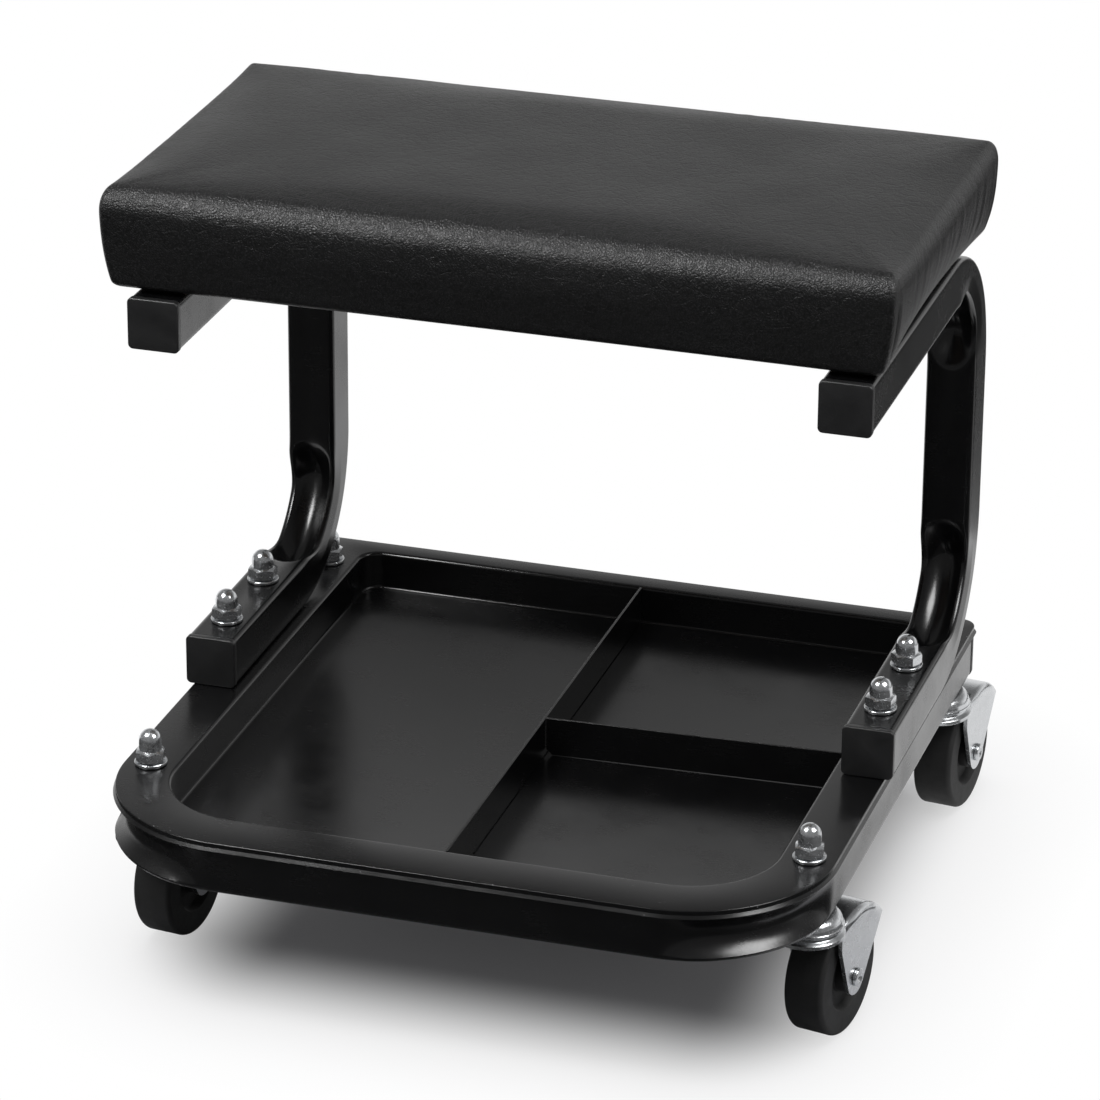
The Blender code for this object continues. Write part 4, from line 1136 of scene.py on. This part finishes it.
def rolled_steps(roll):
    """Lattice steps in a rolled edge, at even angles up to 45 degrees."""
    return [math.tan(math.radians(45.0) * step / ROLL_STEPS) * roll for step in range(1, ROLL_STEPS + 1)]


def roll_stations(half, roll):
    """Lattice places from -half to half: even angles in the rolled edges, even steps between them."""
    edge = rolled_steps(roll)
    flat = half - roll
    count = round(2 * flat / SEAT_STEP)
    middle = [flat * (2 * step / count - 1.0) for step in range(count + 1)]
    return [-flat - offset for offset in reversed(edge)] + middle + [flat + offset for offset in edge]


def seat_heights(height):
    """Lattice places from the hem up to the top, with both rolled edges."""
    turn = math.radians(45.0 / HEM_STEPS)
    low = [SEAT_HEM_ROLL * (1.0 - math.tan(turn * step)) for step in range(HEM_STEPS, 0, -1)]
    start, end = SEAT_HEM_ROLL, height - SEAT_TOP_ROLL
    count = round((height - SEAT_HEM_ROLL - SEAT_TOP_ROLL) / SEAT_STEP)
    middle = [start + (end - start) * step / count for step in range(count + 1)]
    return low + middle + [end + offset for offset in rolled_steps(SEAT_TOP_ROLL)]


def rolled(value, half, roll):
    """Nearest place on the straight part, and how far past it the point lies in units of the roll."""
    core = max(-half + roll, min(half - roll, value))
    return core, (value - core) / roll


def end_tuck(drop, v):
    """How far an end of the cover is drawn in, by its drop from the top and its place v across."""
    return SEAT_END_TUCK * drop**3 + SEAT_END_BOW * drop**2.5 * (1.0 - v * v)


def cover_shell(half_length, half_depth, height, centre, bottom):
    """Open shell of the cover in quads, and the points that the board and the corner pleats hold."""
    xs = roll_stations(half_length, SEAT_END_ROLL)
    ys = roll_stations(half_depth, SEAT_FRONT_ROLL)
    zs = seat_heights(height)
    last = (len(xs) - 1, len(ys) - 1, len(zs) - 1)
    mesh = bmesh.new()
    points = {}
    held = []

    def point(i, j, k):
        if (i, j, k) in points:
            return points[i, j, k]
        cx, dx = rolled(xs[i], half_length, SEAT_END_ROLL)
        cy, dy = rolled(ys[j], half_depth, SEAT_FRONT_ROLL)
        vertical = SEAT_TOP_ROLL if zs[k] > height / 2 else SEAT_HEM_ROLL
        cz = max(SEAT_HEM_ROLL, min(height - SEAT_TOP_ROLL, zs[k]))
        dz = (zs[k] - cz) / vertical
        plan = (dx**4 + dy**4) ** 0.25
        reach = math.hypot(plan, dz)
        x = cx + SEAT_END_ROLL * dx / reach
        y = cy + SEAT_FRONT_ROLL * dy / reach
        z = cz + vertical * dz / reach
        drop = max(0.0, 1.0 - z / height)
        u, v = x / half_length, y / half_depth
        x -= math.copysign(end_tuck(drop, v), x) * abs(u) ** 3
        y -= math.copysign(SEAT_SIDE_TUCK * drop**1.5 + SEAT_BOW * drop * (1.0 - u * u), y) * abs(v) ** 3
        z += SEAT_CROWN * (1.0 - u * u) * (1.0 - v * v) * (z / height) ** 6
        slump = max(0.0, 1.0 - (half_length - abs(x)) / SEAT_SLUMP_REACH)
        z -= SEAT_SLUMP * slump**2 * (1.0 - v**4) * (z / height) ** 2
        pleat = i in (0, last[0]) and j in (ROLL_STEPS, last[1] - ROLL_STEPS) and k <= last[2] - ROLL_STEPS
        made = mesh.verts.new((x, centre + y, bottom + z))
        if k <= HEM_STEPS or pleat:
            held.append(made)
        points[i, j, k] = made
        return made

    def quad(*corners):
        mesh.faces.new([point(*corner) for corner in corners])

    for i in range(last[0]):
        for j in range(last[1]):
            quad((i, j, last[2]), (i + 1, j, last[2]), (i + 1, j + 1, last[2]), (i, j + 1, last[2]))
            hem = min(i, last[0] - 1 - i, j, last[1] - 1 - j) < ROLL_STEPS
            if hem:
                quad((i, j, 0), (i, j + 1, 0), (i + 1, j + 1, 0), (i + 1, j, 0))
    for k in range(last[2]):
        for i in range(last[0]):
            quad((i, 0, k), (i + 1, 0, k), (i + 1, 0, k + 1), (i, 0, k + 1))
            quad((i, last[1], k), (i, last[1], k + 1), (i + 1, last[1], k + 1), (i + 1, last[1], k))
        for j in range(last[1]):
            quad((0, j, k), (0, j, k + 1), (0, j + 1, k + 1), (0, j + 1, k))
            quad((last[0], j, k), (last[0], j + 1, k), (last[0], j + 1, k + 1), (last[0], j, k + 1))
    mesh.verts.index_update()
    return mesh, [vertex.index for vertex in held]


def swell(data, held):
    """Cloth simulation: the foam's pressure fills the cover, which its staples and pleats hold."""
    rest = spots_of(data)
    holder = hold(data)
    holder.vertex_groups.new(name=STAPLES).add(held, 1.0, "REPLACE")
    cloth = holder.modifiers.new("cover", "CLOTH")
    for key, value in COVER_CLOTH.items():
        setattr(cloth.settings, key, value)
    cloth.settings.effector_weights.gravity = 0.0
    cloth.point_cache.frame_start = 1
    cloth.point_cache.frame_end = CLOTH_FRAMES
    scene = bpy.context.scene
    for number in range(1, CLOTH_FRAMES + 1):
        scene.frame_set(number)
    swollen = evaluated(holder)
    scene.frame_set(1)
    moved = spots_of(swollen) - rest
    length = np.maximum(np.linalg.norm(moved, axis=1, keepdims=True), 1e-9)
    move_to(swollen, rest + moved * np.minimum(1.0, SEAT_SWELL_CAP / length))
    return swollen


def fit_to_box(data, low, high):
    """Scales the swollen cover so that it fills the cushion's own box again."""
    spots = spots_of(data)
    small, large = spots.min(0), spots.max(0)
    scale = (np.array(high) - np.array(low)) / (large - small)
    move_to(data, np.array(low) + (spots - small) * scale)


def board_reach(y):
    """Half length of the board at a place across it, inside the bowed hem of the cover."""
    low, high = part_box("seat_cushion")
    v = (2 * y - low.y - high.y) / (high.y - low.y)
    return (high.x - low.x) / 2 - SEAT_SLACK - SEAT_END_ROLL - end_tuck(1.0, v) - BOARD_INSET


def make_board(finish):
    """Plywood board under the cushion, its ends cut to the bow of the hem."""
    mesh = welded_copy("seat_board")
    low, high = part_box("seat_board")
    for step in range(1, BOARD_CUTS):
        place = (0.0, low.y + (high.y - low.y) * step / BOARD_CUTS, 0.0)
        whole = mesh.verts[:] + mesh.edges[:] + mesh.faces[:]
        bmesh.ops.bisect_plane(mesh, geom=whole, plane_co=place, plane_no=(0.0, 1.0, 0.0))
    for vertex in mesh.verts:
        if abs(vertex.co.x) > high.x - BOARD_INSET:
            vertex.co.x = math.copysign(board_reach(vertex.co.y), vertex.co.x)
    add_piece("seat_panel", to_data(mesh, "panel", finish), "stool", "plywood", "seat_board")


def close_underside(data, board_low, board_high):
    """Carries the hem in to the board and up round it, and closes the pocket over the board."""
    mesh = bmesh.new()
    mesh.from_mesh(data)
    rim = [edge for edge in mesh.edges if edge.is_boundary]
    for height in (board_low.z, board_high.z + BOARD_GAP):
        made = bmesh.ops.extrude_edge_only(mesh, edges=rim)["geom"]
        rim = [item for item in made if isinstance(item, bmesh.types.BMEdge)]
        for vertex in {vertex for edge in rim for vertex in edge.verts}:
            vertex.co.y = max(board_low.y - BOARD_GAP, min(board_high.y + BOARD_GAP, vertex.co.y))
            reach = board_reach(vertex.co.y) + BOARD_GAP
            vertex.co.x = max(-reach, min(reach, vertex.co.x))
            vertex.co.z = height
    bmesh.ops.contextual_create(mesh, geom=rim)
    bmesh.ops.remove_doubles(mesh, verts=mesh.verts, dist=WELD)
    bmesh.ops.recalc_face_normals(mesh, faces=mesh.faces)
    mesh.to_mesh(data)
    mesh.free()
    data.update()


def waves(values, seed, lengths):
    """Sum of sine waves of the given lengths with seeded phases, from -1 to 1."""
    chance = np.random.default_rng(seed)
    total = np.zeros_like(values)
    for length in lengths:
        total += np.sin(2 * math.pi * values / length + chance.uniform(0, 2 * math.pi))
    return total / len(lengths)


def smooth_step(values, start, end):
    share = np.clip((values - start) / (end - start), 0.0, 1.0)
    return share * share * (3.0 - 2.0 * share)


def wrinkle(data, low, high):
    """Creases of a stretched cover: slow waves, fans at the corners, nips, pleats and upright folds."""
    spots = spots_of(data)
    normals = np.array([vertex.normal for vertex in data.vertices])
    centre = (np.array(low) + np.array(high)) / 2
    x, y, z = (spots - centre).T
    half = (np.array(high) - np.array(low)) / 2
    upward = smooth_step(normals[:, 2], 0.3, 0.9)
    outside = smooth_step(z, -half[2] + 0.004, -half[2] + 0.014)
    push = np.zeros(len(spots))
    # Slow unevenness of the foam
    slow = waves(x + 0.4 * y, 1, (0.083, 0.057)) * waves(y - 0.2 * x, 2, (0.071, 0.049))
    push += FOAM_WAVE * upward * slow
    # Fans from the four corners of the top
    for side_x in (-1, 1):
        for side_y in (-1, 1):
            dx = half[0] * side_x - x
            dy = half[1] * side_y - y
            reach = np.hypot(dx, dy)
            angle = np.arctan2(np.abs(dy), np.abs(dx))
            fade = np.exp(-((reach / 0.075) ** 2)) * smooth_step(reach, 0.006, 0.030)
            push += FAN_WAVE * upward * fade * waves(angle, 10 + side_x + 3 * side_y, (0.33, 0.21, 0.47))
    # Nips where the cover is drawn over the long edges
    edge = np.exp(-(((np.abs(y) - half[1] + 0.004) / 0.010) ** 2)) * smooth_step(z, 0.0, half[2] * 0.7)
    patch = smooth_step(waves(x, 21, (0.19, 0.11)), -0.1, 0.7)
    push += NIP_WAVE * edge * patch * waves(x + 0.25 * y, 22, (0.0085, 0.0115, 0.0150))
    # Folds of the cover beside the upright corners, drawn tight at the bottom and running out at the top
    beside = (np.abs(y) - half[1] + PLEAT_INSET) / PLEAT_WIDTH
    drawn = smooth_step(np.abs(x), half[0] - 0.012, half[0] - 0.008) * smooth_step(-z, -half[2] * 0.75, 0.0)
    push -= PLEAT_DEPTH * drawn * np.exp(-(beside**2))
    push += 0.12 * PLEAT_DEPTH * drawn * np.exp(-(((beside + 3.0) / 2.0) ** 2))
    # Upright creases on the ends
    end = smooth_step(np.abs(x), half[0] - 0.016, half[0] - 0.004)
    upright = waves(y + 0.12 * z, 31, (0.0080, 0.0120, 0.0170))
    push += END_WAVE * end * upright * smooth_step(z, half[2], -half[2] * 0.2)
    move_to(data, spots + normals * (push * outside)[:, None])


def make_seat(finish):
    """The padded seat: a cover cut close, swollen by simulation, creased by its pull and closed below."""
    low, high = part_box("seat_cushion")
    board_low, board_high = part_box("seat_board")
    height = high.z - low.z - SEAT_CROWN
    mesh, held = cover_shell(
        (high.x - low.x) / 2 - SEAT_SLACK,
        (high.y - low.y) / 2 - SEAT_SLACK,
        height - SEAT_SLACK,
        (low.y + high.y) / 2,
        low.z,
    )
    data = to_data(mesh, "cover", finish, sharp=180.0)
    data = swell(data, held)
    fit_to_box(data, low, high)
    holder = hold(data)
    fine = holder.modifiers.new("fine", "SUBSURF")
    fine.levels = 1
    fine.render_levels = 1
    data = evaluated(holder)
    wrinkle(data, low, high)
    close_underside(data, board_low, board_high)
    shade(data, 50.0)
    seat = add_piece("padded_seat", data, "stool", "black_vinyl", "seat_cushion")


# Studio


def make_camera():
    turn, tilt, roll = (math.radians(angle) for angle in (CAMERA_AZIMUTH, CAMERA_ELEVATION, CAMERA_ROLL))
    forward = Vector((-math.sin(turn) * math.cos(tilt), math.cos(turn) * math.cos(tilt), -math.sin(tilt)))
    right = Vector((math.cos(turn), math.sin(turn), 0.0))
    up = right.cross(forward)
    level = right * math.cos(roll) + up * math.sin(roll)
    top = up * math.cos(roll) - right * math.sin(roll)
    camera = bpy.data.objects.new("camera", bpy.data.cameras.new("camera"))
    camera.data.lens = CAMERA_LENS
    camera.data.sensor_width = 36.0
    axes = Matrix((level, top, -forward)).transposed().to_4x4()
    camera.matrix_world = Matrix.Translation(CAMERA_PLACE) @ axes
    bpy.context.scene.collection.objects.link(camera)
    bpy.context.scene.camera = camera


def make_world():
    """White backdrop behind the stool and a dim room in front and above; white to the camera."""
    world = bpy.data.worlds.new("white_studio")
    bpy.context.scene.world = world
    world.use_nodes = True
    tree = world.node_tree
    tree.nodes.clear()
    aim = add(tree, "ShaderNodeTexCoord").outputs["Generated"]
    heading = add(tree, "ShaderNodeSeparateXYZ", {"Vector": aim}).outputs
    rearward = {"Value": heading["Y"], "From Min": 0.15, "From Max": 0.65}
    behind = add(tree, RANGE, rearward, interpolation_type="SMOOTHSTEP")
    falling = {"Value": heading["Z"], "From Min": 0.05, "From Max": 0.62, "To Min": 1.0, "To Max": 0.0}
    low = add(tree, RANGE, falling, interpolation_type="SMOOTHSTEP")
    backdrop = add(tree, MATH, {0: behind, 1: low}, operation="MULTIPLY")
    room = add(tree, RANGE, {"Value": backdrop, "To Min": ROOM_LIGHT, "To Max": 1.0})
    path = add(tree, "ShaderNodeLightPath").outputs
    mirrored = add(tree, MIX, {0: path["Is Glossy Ray"], 2: FILL_LIGHT, 3: room}, data_type="FLOAT")
    rays = {0: path["Is Camera Ray"], 1: path["Is Transmission Ray"]}
    through = add(tree, MATH, rays, operation="MAXIMUM")
    strength = add(tree, MIX, {0: through, 2: mirrored, 3: 1.0}, data_type="FLOAT")
    sky = add(tree, "ShaderNodeBackground", {"Color": linear(0xFFFFFF), "Strength": strength})
    add(tree, "ShaderNodeOutputWorld", {"Surface": sky})


def add_lamp(name, place, aim, size, power, mirrored):
    """Soft box aimed at a point, unseen by the camera: shown in gloss only if mirrored, else by matt only."""
    data = bpy.data.lights.new(name, "AREA")
    data.shape = "RECTANGLE"
    data.size, data.size_y = size
    data.energy = power
    lamp = bpy.data.objects.new(name, data)
    lamp.location = place
    lamp.rotation_euler = (Vector(aim) - Vector(place)).to_track_quat("-Z", "Y").to_euler()
    lamp.visible_camera = False
    lamp.visible_glossy = mirrored
    lamp.visible_diffuse = not mirrored
    bpy.context.scene.collection.objects.link(lamp)


def make_floor():
    """Pale paper floor that keeps the stool's shadow and turns to the white of the backdrop away from it."""
    mesh = bmesh.new()
    bmesh.ops.create_grid(mesh, x_segments=1, y_segments=1, size=FLOOR_HALF)
    material, tree, shader, place = new_material("paper_floor")
    tree.nodes.remove(shader)
    middle = add(tree, "ShaderNodeMapping", {"Vector": place, "Location": SHADOW_SHIFT})
    aside = add(tree, VECTOR, {0: middle}, operation="ABSOLUTE")
    beyond = add(tree, VECTOR, {0: aside, 1: SHADOW_HALF}, operation="SUBTRACT")
    clear = add(tree, VECTOR, {0: beyond, 1: (0.0, 0.0, 0.0)}, operation="MAXIMUM")
    reach = add(tree, VECTOR, {0: clear}, operation="LENGTH")
    near = add(tree, RANGE, {"Value": reach, "From Max": 0.085}, interpolation_type="SMOOTHSTEP")
    wide = add(tree, RANGE, {"Value": reach, "From Max": 0.15, "To Min": 0.6, "To Max": 1.0})
    depth = add(tree, "ShaderNodeSeparateXYZ", {"Vector": place}).outputs["Y"]
    rearward = {"Value": depth, "From Min": -0.09, "From Max": 0.10, "To Max": 0.9}
    behind = add(tree, RANGE, rearward, interpolation_type="SMOOTHSTEP")
    path = add(tree, "ShaderNodeLightPath").outputs
    rays = {0: path["Is Camera Ray"], 1: path["Is Transmission Ray"]}
    seen = add(tree, MATH, rays, operation="MAXIMUM")
    direct = add(tree, MATH, {0: seen, 1: wide}, operation="MULTIPLY")
    either = {0: path["Is Glossy Ray"], 1: behind, 2: direct}
    shown = add(tree, MATH, either, operation="MULTIPLY_ADD", use_clamp=True)
    share = add(tree, MATH, {0: near, 1: shown}, operation="MULTIPLY")
    paper = add(tree, "ShaderNodeBsdfDiffuse", {"Color": linear(0xE4E4E7)})
    white = add(tree, "ShaderNodeEmission", {"Color": linear(0xFFFFFF), "Strength": 1.0})
    both = add(tree, "ShaderNodeMixShader", {0: share, 1: paper, 2: white})
    plug(tree, tree.nodes["Material Output"], {"Surface": both})
    hold(to_data(mesh, "floor", material), "floor")


def make_flags():
    """Black sheets on the floor round the stool, seen only in gloss: painted dark reflections on its front and the
    seat's end.
    """
    material = new_material("painted_dark_reflection", Base_Color=linear(0x141414))[0]
    sheets = {
        "front_flag": ((-2.0, -2.7), (2.0, -0.165)),
        "right_flag": ((0.27, -0.165), (2.0, 0.15)),
        "left_flag": ((-2.0, -0.165), (-0.20, 0.06)),
        "rear_flag": ((0.25, 0.50), (2.0, 3.0)),
    }
    for name, (low, high) in sheets.items():
        mesh = bmesh.new()
        corners = [(low[0], low[1]), (high[0], low[1]), (high[0], high[1]), (low[0], high[1])]
        mesh.faces.new([mesh.verts.new((x, y, FLAG_LIFT)) for x, y in corners])
        flag = hold(to_data(mesh, name, material), name)
        # Painted dark reflection: the camera, matt surfaces and shadows do not see the sheet
        flag.visible_camera = False
        flag.visible_diffuse = False
        flag.visible_shadow = False


def make_studio():
    bpy.context.scene.view_settings.view_transform = "Standard"
    make_camera()
    make_world()
    make_floor()
    make_flags()
    add_lamp("top_box", (0.0, -0.35, 2.3), (0.0, -0.1, 0.1), (2.0, 1.6), 42.0, mirrored=False)
    add_lamp("left_box", (-0.85, -0.85, 1.65), (0.0, 0.0, 0.3), (0.65, 0.65), 38.0, mirrored=True)
    add_lamp("right_box", (1.3, -0.3, 1.55), (0.0, 0.0, 0.3), (0.9, 0.8), 32.0, mirrored=True)


def main():
    make_studio()
    finishes = make_finishes()
    for part in frame["record"]["subparts"]:
        frame["nodes"][part["node"]].data.materials.clear()
        frame["nodes"][part["node"]].data.materials.append(finishes[part["material_slot"]])
    make_frames(finishes)
    make_tray(finishes["black_powder_coat"])
    make_dividers(finishes["black_powder_coat"])
    make_end_caps(finishes["black_cap_plastic"])
    make_fasteners(finishes)
    make_casters(finishes)
    make_board(finishes["plywood"])
    make_seat(finishes["black_vinyl"])


main()
